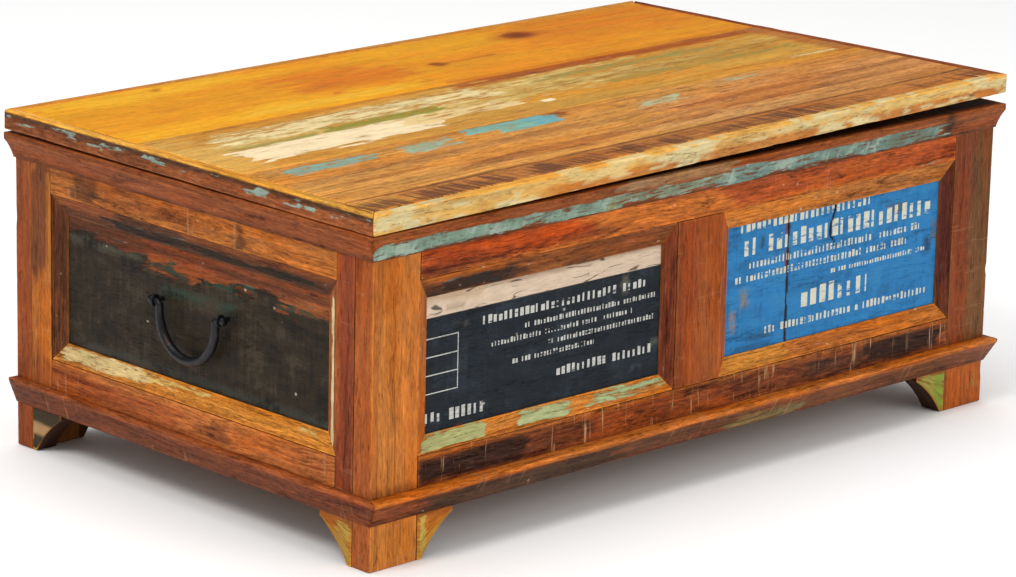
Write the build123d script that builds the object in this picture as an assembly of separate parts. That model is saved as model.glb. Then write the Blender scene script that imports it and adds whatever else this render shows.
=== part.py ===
from build123d import *
import os

# Storage chest of reclaimed boards: four framed and panelled walls on bracket feet,
# a hinged lid and an iron bail handle on each end. All sizes are millimetres.
#
# +X runs along the length, +Y towards the hinged back, +Z up. The origin is on the
# floor under the middle of the chest.
#
# Every wall is modelled in its own wall frame and then placed: local X runs along the
# wall from its middle, local Y is the depth inwards from the outer face, Z is up.

# ---------------------------------------------------------------- driving dimensions

# walls
body_length = 884.0
body_depth = 536.0
rim_height = 328.0
board = 25.0
base_height = 46.0
opening_bottom = 103.0
opening_top = 274.5

# frame layout
leg_width = 60.5
middle_stile_width = 65.0
middle_stile_offset = -3.5
end_front_stile_width = 25.0
end_back_stile_width = 32.0

# joinery
tenon_length = 18.0
tenon_thickness = 8.0
tenon_shoulder = 8.0
mortise_clearance = 1.0

# panels
panel_recess = 9.0
panel_thickness = 10.0
panel_tongue = 7.0
groove_clearance = 0.5
split_board_width = 106.0
split_gap = 0.8

# bevelled trim strips round each panel
trim_setback = 1.0
trim_lip = 1.5
long_wall_trim = {"side": 15.0, "top": 21.0, "bottom": 17.0}
end_wall_trim = {"side": 18.0, "top": 20.0, "bottom": 19.0}

# crown moulding
crown_height = 26.0
crown_projection = 8.0
crown_foot = 1.2
crown_flat = 7.0
crown_cove_sag = 1.2

# base moulding: (fraction of the projection, height above the rail's underside)
base_front_projection = 14.0
base_end_projection = 7.0
base_back_projection = 5.0
base_section = [(0, 0), (0.08, 0), (0.96, 22), (1, 24.5), (0.92, 26), (0, 26.5)]

# foot brackets
bracket_reach = 46.0
bracket_nose = 5.0
bracket_toe = 6.0
bracket_sag = 2.5

# bottom
cleat_width = 20.0
cleat_height = 18.0
cleat_lift = 4.0
bottom_thickness = 12.0
bottom_board_count = 3
bottom_gap = 1.5

# lid
lid_thickness = 20.0
lid_overhang = crown_projection
lipping_width = 12.0
back_plank_width = 185.0
middle_plank_width = 159.0
flat_strip = 30.0
front_left_gap = 0.4
front_right_gap = 11.5

# lid battens
batten_positions = (-300.0, 0.0, 300.0)
batten_width = 45.0
batten_thickness = 18.0
batten_length = 450.0
batten_scribe = 2.0

# hinges
hinge_positions = (-290.0, 290.0)
hinge_length = 64.0
leaf_thickness = 1.2
leaf_width = 28.0
leaf_gap = 0.2
barrel_radius = 2.9
barrel_clearance = 0.2
hinge_pin_radius = 1.5
hinge_pin_clearance = 0.05

# screws
hinge_screw = {"head_radius": 3.2, "head_height": 1.1, "radius": 1.5, "length": 14.0}
hinge_screw_pitch = 22.0
batten_screw = {"head_radius": 4.0, "head_height": 2.4, "radius": 2.0, "length": 30.0}
batten_screw_inset = 32.0

# bail handles
handle_height = 200.0
handle_standoff = 10.5
handle_spacing = 98.0
bail_radius = 4.3
bail_leg = 4.0
bail_bend = 5.0
bail_pin_radius = 3.2
bail_pin_clearance = 0.1
bail_pin_length = 6.0
bail_knob_radius = 4.3
bail_knob_length = 2.5
eye_wire = 1.5
eye_side_gap = 0.5
eye_shank_radius = 2.5
eye_shank_reach = 7.0
nut_flats = 10.0
nut_height = 4.0

# ---------------------------------------------------------------- derived dimensions

half_length = body_length / 2
half_depth = body_depth / 2
inner_half_length = half_length - board
inner_half_depth = half_depth - board
lid_half_length = half_length + lid_overhang
lid_half_depth = half_depth + lid_overhang
lid_rest_gap = 2 * leaf_thickness + leaf_gap
lid_flat_edge = lid_half_depth - flat_strip
hinge_axis_y = lid_half_depth + barrel_clearance + barrel_radius
hinge_axis_z = rim_height + lid_rest_gap / 2
bail_side = handle_spacing / 2 - eye_wire - eye_side_gap - bail_bend
bottom_top = base_height + cleat_lift + cleat_height + bottom_thickness
plank_limit = lid_half_depth - lipping_width
plank_edges = (
    plank_limit,
    plank_limit - back_plank_width,
    plank_limit - back_plank_width - middle_plank_width,
    -plank_limit,
)

# ---------------------------------------------------------------- shape helpers


def block(x_range, y_range, z_range):
    """A box between two values on each axis."""
    ranges = (x_range, y_range, z_range)
    sizes = [high - low for low, high in ranges]
    middle = [(high + low) / 2 for low, high in ranges]
    return Pos(*middle) * Box(*sizes)


def flat_faced(polygons):
    """A solid bounded by flat polygons."""
    return Solid(Shell([Face(Wire.make_polygon(polygon, close=True)) for polygon in polygons]))


def strip_between(ring_a, ring_b):
    """A solid with straight edges between the matching corners of two flat rings."""
    following = list(range(1, len(ring_a))) + [0]
    sides = [[ring_a[i], ring_a[j], ring_b[j], ring_b[i]] for i, j in enumerate(following)]
    return flat_faced([ring_a, ring_b] + sides)


def long_cylinder(radius, x_low, x_high, y, z):
    """A cylinder lying along X."""
    along_x = Rot(0, 90, 0) * Cylinder(radius, x_high - x_low)
    return Pos((x_low + x_high) / 2, y, z) * along_x


# ---------------------------------------------------------------- walls

wall_places = {
    "front": Location((0, -half_depth, 0), (0, 0, 0)),
    "back": Location((0, half_depth, 0), (0, 0, 180)),
    "left_end": Location((-half_length, 0, 0), (0, 0, -90)),
    "right_end": Location((half_length, 0, 0), (0, 0, 90)),
}


def rail(low, high, z_low, z_high):
    """A horizontal frame board with a tenon on each end. Gives the board and its tenons."""
    tenon_y = ((board - tenon_thickness) / 2, (board + tenon_thickness) / 2)
    tenon_z = (z_low + tenon_shoulder, z_high - tenon_shoulder)
    body = block((low, high), (0, board), (z_low, z_high))
    tenons = block((low - tenon_length, high + tenon_length), tenon_y, tenon_z)
    mortises = block(
        (low - tenon_length - mortise_clearance, high + tenon_length + mortise_clearance),
        tenon_y,
        tenon_z,
    )
    return body + tenons, mortises


def middle_stile():
    """The post between the two openings of a long wall, with a tenon at each end."""
    low = middle_stile_offset - middle_stile_width / 2
    high = middle_stile_offset + middle_stile_width / 2
    tenon_x = (low + tenon_shoulder, high - tenon_shoulder)
    tenon_y = ((board - tenon_thickness) / 2, (board + tenon_thickness) / 2)
    body = block((low, high), (0, board), (opening_bottom, opening_top))
    tenons = block(tenon_x, tenon_y, (opening_bottom - tenon_length, opening_top + tenon_length))
    mortises = block(
        tenon_x,
        tenon_y,
        (
            opening_bottom - tenon_length - mortise_clearance,
            opening_top + tenon_length + mortise_clearance,
        ),
    )
    return body + tenons, mortises


def panel_block(low, high, reach):
    """The panel of one opening, or its groove, reaching into the frame all round."""
    return block(
        (low - reach, high + reach),
        (panel_recess, panel_recess + panel_thickness),
        (opening_bottom - reach, opening_top + reach),
    )


def trim_strips(low, high, widths):
    """Four mitred strips, bevelled from the frame's face down to the panel."""
    outer = ((low, opening_bottom), (high, opening_bottom), (high, opening_top), (low, opening_top))
    inner = (
        (low + widths["side"], opening_bottom + widths["bottom"]),
        (high - widths["side"], opening_bottom + widths["bottom"]),
        (high - widths["side"], opening_top - widths["top"]),
        (low + widths["side"], opening_top - widths["top"]),
    )

    def mitre_face(corner):
        out_x, out_z = outer[corner % 4]
        in_x, in_z = inner[corner % 4]
        return [
            (out_x, trim_setback, out_z),
            (out_x, panel_recess, out_z),
            (in_x, panel_recess, in_z),
            (in_x, panel_recess - trim_lip, in_z),
        ]

    return [strip_between(mitre_face(corner), mitre_face(corner + 1)) for corner in range(4)]


def wall(low, high, low_width, high_width, stile_foot, has_middle):
    """The frame boards of one wall and the list of its openings."""
    inner_low = low + low_width
    inner_high = high - high_width
    top, top_mortises = rail(inner_low, inner_high, opening_top, rim_height)
    bottom, bottom_mortises = rail(inner_low, inner_high, base_height, opening_bottom)
    boards = {
        "low_stile": block((low, inner_low), (0, board), (stile_foot, rim_height)),
        "high_stile": block((inner_high, high), (0, board), (stile_foot, rim_height)),
        "top_rail": top,
        "bottom_rail": bottom,
    }
    for name in ("low_stile", "high_stile"):
        boards[name] = boards[name] - top_mortises - bottom_mortises
    openings = [(inner_low, inner_high)]
    if has_middle:
        stile, stile_mortises = middle_stile()
        for name in ("top_rail", "bottom_rail"):
            boards[name] = boards[name] - stile_mortises
        boards["middle_stile"] = stile
        openings = [
            (inner_low, middle_stile_offset - middle_stile_width / 2),
            (middle_stile_offset + middle_stile_width / 2, inner_high),
        ]
    for opening in openings:
        groove = panel_block(*opening, panel_tongue + groove_clearance)
        boards = {name: piece - groove for name, piece in boards.items()}
    return boards, openings


def long_wall():
    """A front or back wall: legs to the floor and two openings."""
    return wall(-half_length, half_length, leg_width, leg_width, 0, True)


def end_wall(low_width, high_width):
    """An end wall, fitted between the front and back walls."""
    return wall(-inner_half_depth, inner_half_depth, low_width, high_width, base_height, False)


def split_panel(low, high):
    """A panel made of a narrow and a wide board with an open joint between them."""
    whole = panel_block(low, high, panel_tongue)
    joint = low + split_board_width
    narrow_cut = block((joint - split_gap / 2, high + board), (0, board), (0, rim_height))
    wide_cut = block((low - board, joint + split_gap / 2), (0, board), (0, rim_height))
    return whole - narrow_cut, whole - wide_cut


# ---------------------------------------------------------------- mouldings and feet


def crown_run(wall_length):
    """One side of the crown moulding: a flat over a shallow cove, mitred at both ends."""
    foot_z = rim_height - crown_height
    cove_top = rim_height - crown_flat
    cove_middle_y = -(crown_foot + crown_projection) / 2 + crown_cove_sag
    cove_middle_z = (foot_z + cove_top) / 2 + crown_cove_sag
    outline = [
        Line((0, foot_z), (-crown_foot, foot_z)),
        ThreePointArc(
            (-crown_foot, foot_z),
            (cove_middle_y, cove_middle_z),
            (-crown_projection, cove_top),
        ),
        Line((-crown_projection, cove_top), (-crown_projection, rim_height)),
        Line((-crown_projection, rim_height), (0, rim_height)),
        Line((0, rim_height), (0, foot_z)),
    ]
    section = Plane.YZ * make_face(outline)
    tip = wall_length / 2 + crown_projection
    run = extrude(Pos(-tip, 0, 0) * section, amount=2 * tip, dir=(1, 0, 0))
    mitre = Polygon(
        (-wall_length / 2, 0),
        (-tip, -crown_projection),
        (tip, -crown_projection),
        (wall_length / 2, 0),
        align=None,
    )
    return run & extrude(mitre, amount=rim_height)


def base_run(wall_length, projection, low_projection, high_projection):
    """One side of the base moulding: wide at the top, tapering to the wall below."""

    def mitre_face(sign, end_projection):
        return [
            (sign * (wall_length / 2 + part * end_projection), -part * projection, base_height + rise)
            for part, rise in base_section
        ]

    return strip_between(mitre_face(-1, low_projection), mitre_face(1, high_projection))


def foot_bracket(corner, sign):
    """A curved bracket under a rail, starting at the leg's edge and reaching along sign."""
    nose_z = base_height - bracket_nose
    middle = ((bracket_reach + bracket_toe) / 2 - bracket_sag, nose_z / 2 + bracket_sag)
    outline = [
        Line((0, 0), (0, base_height)),
        Line((0, base_height), (sign * bracket_reach, base_height)),
        Line((sign * bracket_reach, base_height), (sign * bracket_reach, nose_z)),
        ThreePointArc(
            (sign * bracket_reach, nose_z),
            (sign * middle[0], middle[1]),
            (sign * bracket_toe, 0),
        ),
        Line((sign * bracket_toe, 0), (0, 0)),
    ]
    section = Plane.XZ * make_face(outline)
    return Pos(corner, 0, 0) * extrude(section, amount=board, dir=(0, 1, 0))


def bracket_pair(corner):
    """The two brackets of one wall, on the inner side of its legs."""
    return [foot_bracket(-corner, 1), foot_bracket(corner, -1)]


# ---------------------------------------------------------------- bottom


def bottom_cleats():
    """Four bars round the inside of the walls, under the bottom boards."""
    z_range = (base_height + cleat_lift, base_height + cleat_lift + cleat_height)
    cleats = []
    for sign in (-1, 1):
        outer = sign * inner_half_depth
        y_range = sorted((outer, outer - sign * cleat_width))
        cleats.append(block((-inner_half_length, inner_half_length), y_range, z_range))
    for sign in (-1, 1):
        outer = sign * inner_half_length
        x_range = sorted((outer, outer - sign * cleat_width))
        reach = inner_half_depth - cleat_width
        cleats.append(block(x_range, (-reach, reach), z_range))
    return cleats


def bottom_boards():
    """Boards that run the length of the chest, side by side with shrinkage gaps."""
    pitch = 2 * inner_half_depth / bottom_board_count
    reach = inner_half_length - bottom_gap / 2
    boards = []
    for index in range(bottom_board_count):
        start = -inner_half_depth + index * pitch
        boards.append(
            block(
                (-reach, reach),
                (start + bottom_gap / 2, start + pitch - bottom_gap / 2),
                (bottom_top - bottom_thickness, bottom_top),
            )
        )
    return boards


# ---------------------------------------------------------------- lid


def lid_underside(x, y):
    """Height of the lid's underside. The lid is flat over the hinges and twists forwards."""
    forward = max(0.0, (lid_flat_edge - y) / (lid_flat_edge + lid_half_depth))
    across = (x + lid_half_length) / (2 * lid_half_length)
    front_gap = front_left_gap + (front_right_gap - front_left_gap) * across
    return rim_height + lid_rest_gap + (front_gap - lid_rest_gap) * forward


def lid_strip(stations, low=0.0, high=lid_thickness):
    """A board that follows the lid, between two offsets from the lid's underside.

    Each station is a pair of plan points, one on each side of the board. The upper and
    lower faces are split along a diagonal, so that every face of a twisted board is flat.
    """

    def corner(station, side, offset):
        x, y = stations[station][side]
        return (x, y, lid_underside(x, y) + offset)

    def end_face(station):
        lower = [corner(station, side, low) for side in (0, 1)]
        upper = [corner(station, side, high) for side in (1, 0)]
        return lower + upper

    polygons = [end_face(0), end_face(len(stations) - 1)]
    for here in range(len(stations) - 1):
        there = here + 1
        for side in (0, 1):
            lower = [corner(here, side, low), corner(there, side, low)]
            upper = [corner(there, side, high), corner(here, side, high)]
            polygons.append(lower + upper)
        for offset in (low, high):
            start = corner(here, 0, offset)
            end = corner(there, 1, offset)
            polygons.append([start, corner(here, 1, offset), end])
            polygons.append([start, end, corner(there, 0, offset)])
    return flat_faced(polygons)


def lid_plank(y_low, y_high):
    """A plank along the lid, between the end lippings."""
    reach = lid_half_length - lipping_width
    stops = [y_low, y_high]
    if y_low < lid_flat_edge < y_high:
        stops = [y_low, lid_flat_edge, y_high]
    return lid_strip([((-reach, y), (reach, y)) for y in stops])


def lid_long_lipping(sign):
    """The front or back edging strip, mitred at both ends."""
    inner_x = lid_half_length - lipping_width
    outer_y = sign * lid_half_depth
    inner_y = sign * (lid_half_depth - lipping_width)
    return lid_strip([((end * lid_half_length, outer_y), (end * inner_x, inner_y)) for end in (-1, 1)])


def lid_end_lipping(sign):
    """An end edging strip, mitred at both ends."""
    outer_x = sign * lid_half_length
    inner_x = sign * (lid_half_length - lipping_width)
    inner_y = lid_half_depth - lipping_width
    return lid_strip(
        [
            ((outer_x, -lid_half_depth), (inner_x, -inner_y)),
            ((outer_x, lid_flat_edge), (inner_x, lid_flat_edge)),
            ((outer_x, lid_half_depth), (inner_x, inner_y)),
        ]
    )


def lid_batten(x, planks):
    """A bar across the planks, scribed to the underside of the lid."""
    sides = (x - batten_width / 2, x + batten_width / 2)
    stations = [tuple((side, end * batten_length / 2) for side in sides) for end in (-1, 1)]
    batten = lid_strip(stations, -batten_thickness, batten_scribe)
    for plank in planks:
        batten = batten - plank
    return batten


def countersunk_screw(x, y, z, sign, size):
    """A screw whose flat head lies at z and whose shank runs along sign."""
    head = Cone(size["head_radius"], size["radius"], size["head_height"])
    shank_length = size["length"] - size["head_height"]
    shank = Pos(0, 0, size["length"] / 2) * Cylinder(size["radius"], shank_length)
    screw = Pos(0, 0, size["head_height"] / 2) * head + shank
    turned = screw if sign > 0 else Rot(180, 0, 0) * screw
    return Pos(x, y, z) * turned


def batten_screws():
    """Two screws from each batten into each plank."""
    screws = []
    for x in batten_positions:
        for high, low in zip(plank_edges[:-1], plank_edges[1:]):
            near = max(low, -batten_length / 2) + batten_screw_inset
            far = min(high, batten_length / 2) - batten_screw_inset
            for y in (near, far):
                z = lid_underside(x, y) - batten_thickness
                screws.append(countersunk_screw(x, y, z, 1, batten_screw))
    return screws


# ---------------------------------------------------------------- hinges


def hinge_leaf(x, z_low, knuckles):
    """One leaf with its knuckles; knuckles lists which thirds of the barrel it holds."""
    start = x - hinge_length / 2
    third = hinge_length / 3
    z_range = (z_low, z_low + leaf_thickness)
    leaf = block((start, start + hinge_length), (lid_half_depth - leaf_width, lid_half_depth), z_range)
    for knuckle in knuckles:
        low = start + knuckle * third + leaf_gap / 2
        high = start + (knuckle + 1) * third - leaf_gap / 2
        tab = block((low, high), (lid_half_depth, hinge_axis_y), z_range)
        leaf = leaf + tab + long_cylinder(barrel_radius, low, high, hinge_axis_y, hinge_axis_z)
    bore = hinge_pin_radius + hinge_pin_clearance
    return leaf - long_cylinder(bore, start - board, start + hinge_length + board, hinge_axis_y, hinge_axis_z)


def hinge_pin(x):
    """The pin through the knuckles of one hinge."""
    reach = hinge_length / 2
    return long_cylinder(hinge_pin_radius, x - reach, x + reach, hinge_axis_y, hinge_axis_z)


def hinge_screws(z, sign):
    """Three screws for each leaf, with flat heads at z."""
    y = lid_half_depth - leaf_width / 2 - barrel_radius
    return [
        countersunk_screw(x + step * hinge_screw_pitch, y, z, sign, hinge_screw)
        for x in hinge_positions
        for step in (-1, 0, 1)
    ]


# ---------------------------------------------------------------- handles


def bail(middle):
    """A U of round bar hanging from two pins that point outwards, in the wall frame."""
    depth = panel_recess - handle_standoff
    leg_foot = -bail_bend - bail_leg
    path = [
        CenterArc((-bail_side - bail_bend, -bail_bend), bail_bend, 0, 90),
        Line((-bail_side, -bail_bend), (-bail_side, leg_foot)),
        CenterArc((0, leg_foot), bail_side, 180, 180),
        Line((bail_side, leg_foot), (bail_side, -bail_bend)),
        CenterArc((bail_side + bail_bend, -bail_bend), bail_bend, 90, 90),
    ]
    hang = Plane(origin=(middle, depth, handle_height), x_dir=(1, 0, 0), z_dir=(0, -1, 0))
    wire = Wire([hang.from_local_coords(edge) for edge in path])
    tip = middle - bail_side - bail_bend
    section = Plane(origin=(tip, depth, handle_height), z_dir=(1, 0, 0)) * Circle(bail_radius)
    handle = sweep(section, path=wire)
    for sign in (-1, 1):
        root = middle + sign * (bail_side + bail_bend)
        knob_start = root + sign * bail_pin_length
        pin_range = sorted((root - sign * bail_pin_clearance, knob_start))
        knob_range = sorted((knob_start, knob_start + sign * bail_knob_length))
        handle = handle + long_cylinder(bail_pin_radius, *pin_range, depth, handle_height)
        handle = handle + long_cylinder(bail_knob_radius, *knob_range, depth, handle_height)
    return handle


def handle_eye(x):
    """A ring on a threaded shank that passes through the panel, in the wall frame."""
    depth = panel_recess - handle_standoff
    ring_radius = bail_pin_radius + bail_pin_clearance + eye_wire
    ring = Pos(x, depth, handle_height) * Rot(0, 90, 0) * Torus(ring_radius, eye_wire)
    shank_start = depth + ring_radius
    shank_end = panel_recess + panel_thickness + eye_shank_reach
    along_y = Rot(90, 0, 0) * Cylinder(eye_shank_radius, shank_end - shank_start)
    shank = Pos(x, (shank_start + shank_end) / 2, handle_height) * along_y
    bore = long_cylinder(bail_pin_radius + bail_pin_clearance, x - board, x + board, depth, handle_height)
    return ring + shank - bore


def handle_nut(x):
    """A hexagon nut on the shank, against the inside of the panel."""
    start = panel_recess + panel_thickness
    hexagon = RegularPolygon(nut_flats / 2, 6, major_radius=False) - Circle(eye_shank_radius)
    section = Plane(origin=(x, start, handle_height), z_dir=(0, 1, 0)) * hexagon
    return extrude(section, amount=nut_height)


# ---------------------------------------------------------------- assembly

nodes = {}


def keep(name, pieces):
    """Record a node made of one piece or of several separate ones."""
    group = pieces if isinstance(pieces, list) else [pieces]
    solids = [solid for piece in group for solid in piece.solids()]
    nodes[name] = solids[0] if len(solids) == 1 else Compound(children=solids)


def place(side, pieces):
    """Move pieces from the wall frame to their wall."""
    group = pieces if isinstance(pieces, list) else [pieces]
    return [wall_places[side] * piece for piece in group]


# screws come first, because their holes are cut in the wood and in the leaves
rim_screws = hinge_screws(rim_height + leaf_thickness, -1)
lid_screws = hinge_screws(rim_height + lid_rest_gap - leaf_thickness, 1)
plank_screws = batten_screws()


def drilled(piece, screws):
    """The piece with a hole for every screw that enters it."""
    for screw in screws:
        piece = piece - screw
    return piece


# front and back walls
for side in ("front", "back"):
    boards, long_openings = long_wall()
    low_name, high_name = ("left", "right") if side == "front" else ("right", "left")
    placed = {name: wall_places[side] * piece for name, piece in boards.items()}
    if side == "back":
        placed["top_rail"] = drilled(placed["top_rail"], rim_screws)
    keep(f"{side}_{low_name}_leg", placed["low_stile"])
    keep(f"{side}_{high_name}_leg", placed["high_stile"])
    for name in ("middle_stile", "top_rail", "bottom_rail"):
        keep(f"{side}_{name}", placed[name])

first_opening, second_opening = long_openings
narrow_board, wide_board = split_panel(*second_opening)
keep("front_left_panel", place("front", panel_block(*first_opening, panel_tongue)))
keep("front_right_panel_narrow_board", place("front", narrow_board))
keep("front_right_panel_wide_board", place("front", wide_board))
keep("back_right_panel", place("back", panel_block(*first_opening, panel_tongue)))
keep("back_left_panel", place("back", panel_block(*second_opening, panel_tongue)))
first_trim = trim_strips(*first_opening, long_wall_trim)
second_trim = trim_strips(*second_opening, long_wall_trim)
keep("front_left_trim", place("front", first_trim))
keep("front_right_trim", place("front", second_trim))
keep("back_trim", place("back", first_trim + second_trim))

# end walls with their handles
eyes = []
nuts = []
end_layouts = {
    "left_end": ("back", end_back_stile_width, "front", end_front_stile_width),
    "right_end": ("front", end_front_stile_width, "back", end_back_stile_width),
}
for side, (low_name, low_width, high_name, high_width) in end_layouts.items():
    boards, openings = end_wall(low_width, high_width)
    opening = openings[0]
    handle_middle = (opening[0] + opening[1]) / 2
    eye_positions = [handle_middle + sign * handle_spacing / 2 for sign in (-1, 1)]
    side_eyes = [handle_eye(x) for x in eye_positions]
    panel = panel_block(*opening, panel_tongue)
    for eye in side_eyes:
        panel = panel - eye
    keep(f"{side}_{low_name}_stile", place(side, boards["low_stile"]))
    keep(f"{side}_{high_name}_stile", place(side, boards["high_stile"]))
    keep(f"{side}_top_rail", place(side, boards["top_rail"]))
    keep(f"{side}_bottom_rail", place(side, boards["bottom_rail"]))
    keep(f"{side}_panel", place(side, panel))
    keep(f"{side}_trim", place(side, trim_strips(*opening, end_wall_trim)))
    keep(f"{side}_handle_bail", place(side, bail(handle_middle)))
    eyes += place(side, side_eyes)
    nuts += place(side, [handle_nut(x) for x in eye_positions])
keep("handle_eyes", eyes)
keep("handle_nuts", nuts)

# mouldings
wall_lengths = {
    "front": body_length,
    "back": body_length,
    "left_end": body_depth,
    "right_end": body_depth,
}
base_projections = {
    "front": (base_front_projection, base_end_projection, base_end_projection),
    "back": (base_back_projection, base_end_projection, base_end_projection),
    "left_end": (base_end_projection, base_back_projection, base_front_projection),
    "right_end": (base_end_projection, base_front_projection, base_back_projection),
}
for side, wall_length in wall_lengths.items():
    keep(f"{side}_crown", place(side, crown_run(wall_length)))
    keep(f"{side}_base_moulding", place(side, base_run(wall_length, *base_projections[side])))

# foot brackets
long_corner = half_length - leg_width
keep(
    "foot_brackets_long_sides",
    place("front", bracket_pair(long_corner)) + place("back", bracket_pair(long_corner)),
)
keep(
    "foot_brackets_ends",
    place("left_end", bracket_pair(inner_half_depth)) + place("right_end", bracket_pair(inner_half_depth)),
)

# bottom
keep("bottom_cleats", bottom_cleats())
keep("bottom_boards", bottom_boards())

# lid
plank_ranges = dict(zip(("back", "middle", "front"), zip(plank_edges[1:], plank_edges[:-1])))
whole_planks = {name: lid_plank(*limits) for name, limits in plank_ranges.items()}
for name, plank in whole_planks.items():
    keep(f"lid_{name}_plank", drilled(plank, lid_screws + plank_screws))
keep("lid_front_lipping", lid_long_lipping(-1))
keep("lid_back_lipping", lid_long_lipping(1))
keep("lid_end_lippings", [lid_end_lipping(-1), lid_end_lipping(1)])
battens = [lid_batten(x, whole_planks.values()) for x in batten_positions]
keep("lid_battens", [drilled(batten, plank_screws) for batten in battens])
keep("batten_screws", plank_screws)

# hinges
rim_leaves = [drilled(hinge_leaf(x, rim_height, (0, 2)), rim_screws) for x in hinge_positions]
lid_leaf_z = rim_height + lid_rest_gap - leaf_thickness
lid_leaves = [drilled(hinge_leaf(x, lid_leaf_z, (1,)), lid_screws) for x in hinge_positions]
keep("hinge_rim_leaves", rim_leaves)
keep("hinge_lid_leaves", lid_leaves)
keep("hinge_pins", [hinge_pin(x) for x in hinge_positions])
keep("hinge_rim_screws", rim_screws)
keep("hinge_lid_screws", lid_screws)

os.makedirs("parts", exist_ok=True)
for name, shape in nodes.items():
    export_step(shape, f"parts/{name}.step")
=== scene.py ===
import math
from types import SimpleNamespace
import bpy
import numpy as np
from mathutils import Matrix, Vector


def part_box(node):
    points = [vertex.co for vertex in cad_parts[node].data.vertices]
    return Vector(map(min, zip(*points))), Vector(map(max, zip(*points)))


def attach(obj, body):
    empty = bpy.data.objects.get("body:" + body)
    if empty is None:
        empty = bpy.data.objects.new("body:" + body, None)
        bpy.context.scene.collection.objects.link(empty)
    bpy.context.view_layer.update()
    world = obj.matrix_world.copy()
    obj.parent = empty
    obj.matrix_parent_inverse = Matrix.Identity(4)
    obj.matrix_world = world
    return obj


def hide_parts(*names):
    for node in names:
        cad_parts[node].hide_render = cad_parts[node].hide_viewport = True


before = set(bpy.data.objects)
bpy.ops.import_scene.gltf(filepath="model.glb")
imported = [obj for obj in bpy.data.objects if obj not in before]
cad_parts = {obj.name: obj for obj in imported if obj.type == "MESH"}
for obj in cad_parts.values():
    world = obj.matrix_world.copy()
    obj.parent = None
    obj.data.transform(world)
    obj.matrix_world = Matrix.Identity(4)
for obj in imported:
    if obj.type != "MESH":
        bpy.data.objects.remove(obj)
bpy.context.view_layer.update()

# Storage chest of reclaimed boards. Every board is rebuilt as a worn, gridded mesh whose
# vertices carry what the shared wood shader needs:
#   grain   where the vertex lies in its board (along, across, depth), in metres
#   tint    colour of the bare wood      paint   colour of the paint remains
#   cover   how much paint is left       edge    1 on an arris, 0 away from it
#   groove  how deep a cut is, from 0 to 1
#   sheet   where the vertex lies on the sheet described below, in metres
# Patches are given in millimetres on a sheet that unrolls each wall, seen from outside:
# first the distance from the wall's left edge, then the height. On the lid they are the
# distance from the left end and the distance from the back edge.

MM = 0.001

# ---------------------------------------------------------------- sizes (metres)

FLAT_STRIP = 0.030  # along the lid's back edge, where the hinges are and nothing is twisted
LIPPING = 0.012
# breadth of the slope round a panel, on the long walls and on the end walls
LONG_BEVEL = {"side": 0.015, "top": 0.021, "bottom": 0.017}
END_BEVEL = {"side": 0.018, "top": 0.020, "bottom": 0.019}
BEVEL_LIP = 0.0015
BRACKET = {"reach": 0.046, "nose": 0.005, "toe": 0.006, "sag": 0.0025}
PANEL_LAP = 0.0015
SECTION_STEP = 0.0022  # between the points round a moulding
MOULDING_STEP = 0.004  # between the rings of points along a moulding
BOTTOM_BOARDS = 3
BOTTOM_GAP = 0.0015
SAW_SLANT = math.radians(12)
BAND_FROM = 0.2325  # height from which a painted panel carries brush strokes and no mottling
PIGMENT = 0.92  # the colours below are as seen under the lights, which are a little over one

# ---------------------------------------------------------------- noise and numbers


def rgb(code):
    """Linear colour of a six-digit screen colour."""
    screen = np.array([int(code[i:i + 2], 16) for i in (0, 2, 4)]) / 255
    return np.where(screen <= 0.04045, screen / 12.92, ((screen + 0.055) / 1.055) ** 2.4)


def smooth(value, low, high):
    """0 at low, 1 at high, with a soft start and end."""
    part = np.clip((value - low) / (high - low), 0, 1)
    return part * part * (3 - 2 * part)


AXIS_FACTORS = (73856093, 19349663, 83492791)  # large odd numbers that scatter the cells
SEED_FACTOR = 2654435
MIX_FACTORS = (1274126177, 2246822519)
LOW_BITS = 0xFFFFFFFF


def cell_value(cell, seed):
    """A repeatable value from 0 to 1 for every whole-number cell."""
    x, y, z = (cell[..., axis] * factor for axis, factor in enumerate(AXIS_FACTORS))
    mixed = (x ^ y ^ z ^ seed * SEED_FACTOR) * MIX_FACTORS[0] & LOW_BITS
    mixed = (mixed ^ mixed >> 15) * MIX_FACTORS[1] & LOW_BITS
    return (mixed >> 8 & 0xFFFF) / 0xFFFF


def noise(points, scale, seed, octaves=1):
    """Smooth noise from 0 to 1. The scale is in cells per unit on each axis."""
    total = 0.0
    weight = 0.0
    for octave in range(octaves):
        spot = points * (np.asarray(scale) * 2.0**octave) + 13.7 * seed + 5.3 * octave
        base = np.floor(spot).astype(np.int64)
        ease = smooth(spot - base, 0, 1)
        value = 0.0
        for corner in np.ndindex(2, 2, 2):
            share = np.prod(np.where(corner, ease, 1 - ease), axis=-1)
            value = value + share * cell_value(base + np.array(corner), seed + octave)
        total = total + value * 0.5**octave
        weight += 0.5**octave
    return total / weight


def blend_to(values, target, amount):
    """Move rows of colours towards a colour."""
    return values + (np.asarray(target) - values) * amount[:, None]


# ---------------------------------------------------------------- worn boards

AXES = {"x": 0, "y": 1, "z": 2}
SIGN = {"+": 1, "-": -1}


def box_corners(low, high, along, across, outward):
    """Corners of a box as [along][across][outward]; '-y' runs from high y to low y."""
    corners = np.empty((2, 2, 2, 3))
    for position, axis in enumerate((along, across, outward)):
        index = AXES[axis[1]]
        ends = (low[index], high[index]) if axis[0] == "+" else (high[index], low[index])
        turned = np.moveaxis(corners, position, 0)
        for end in (0, 1):
            turned[end, ..., index] = ends[end]
    return corners


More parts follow.
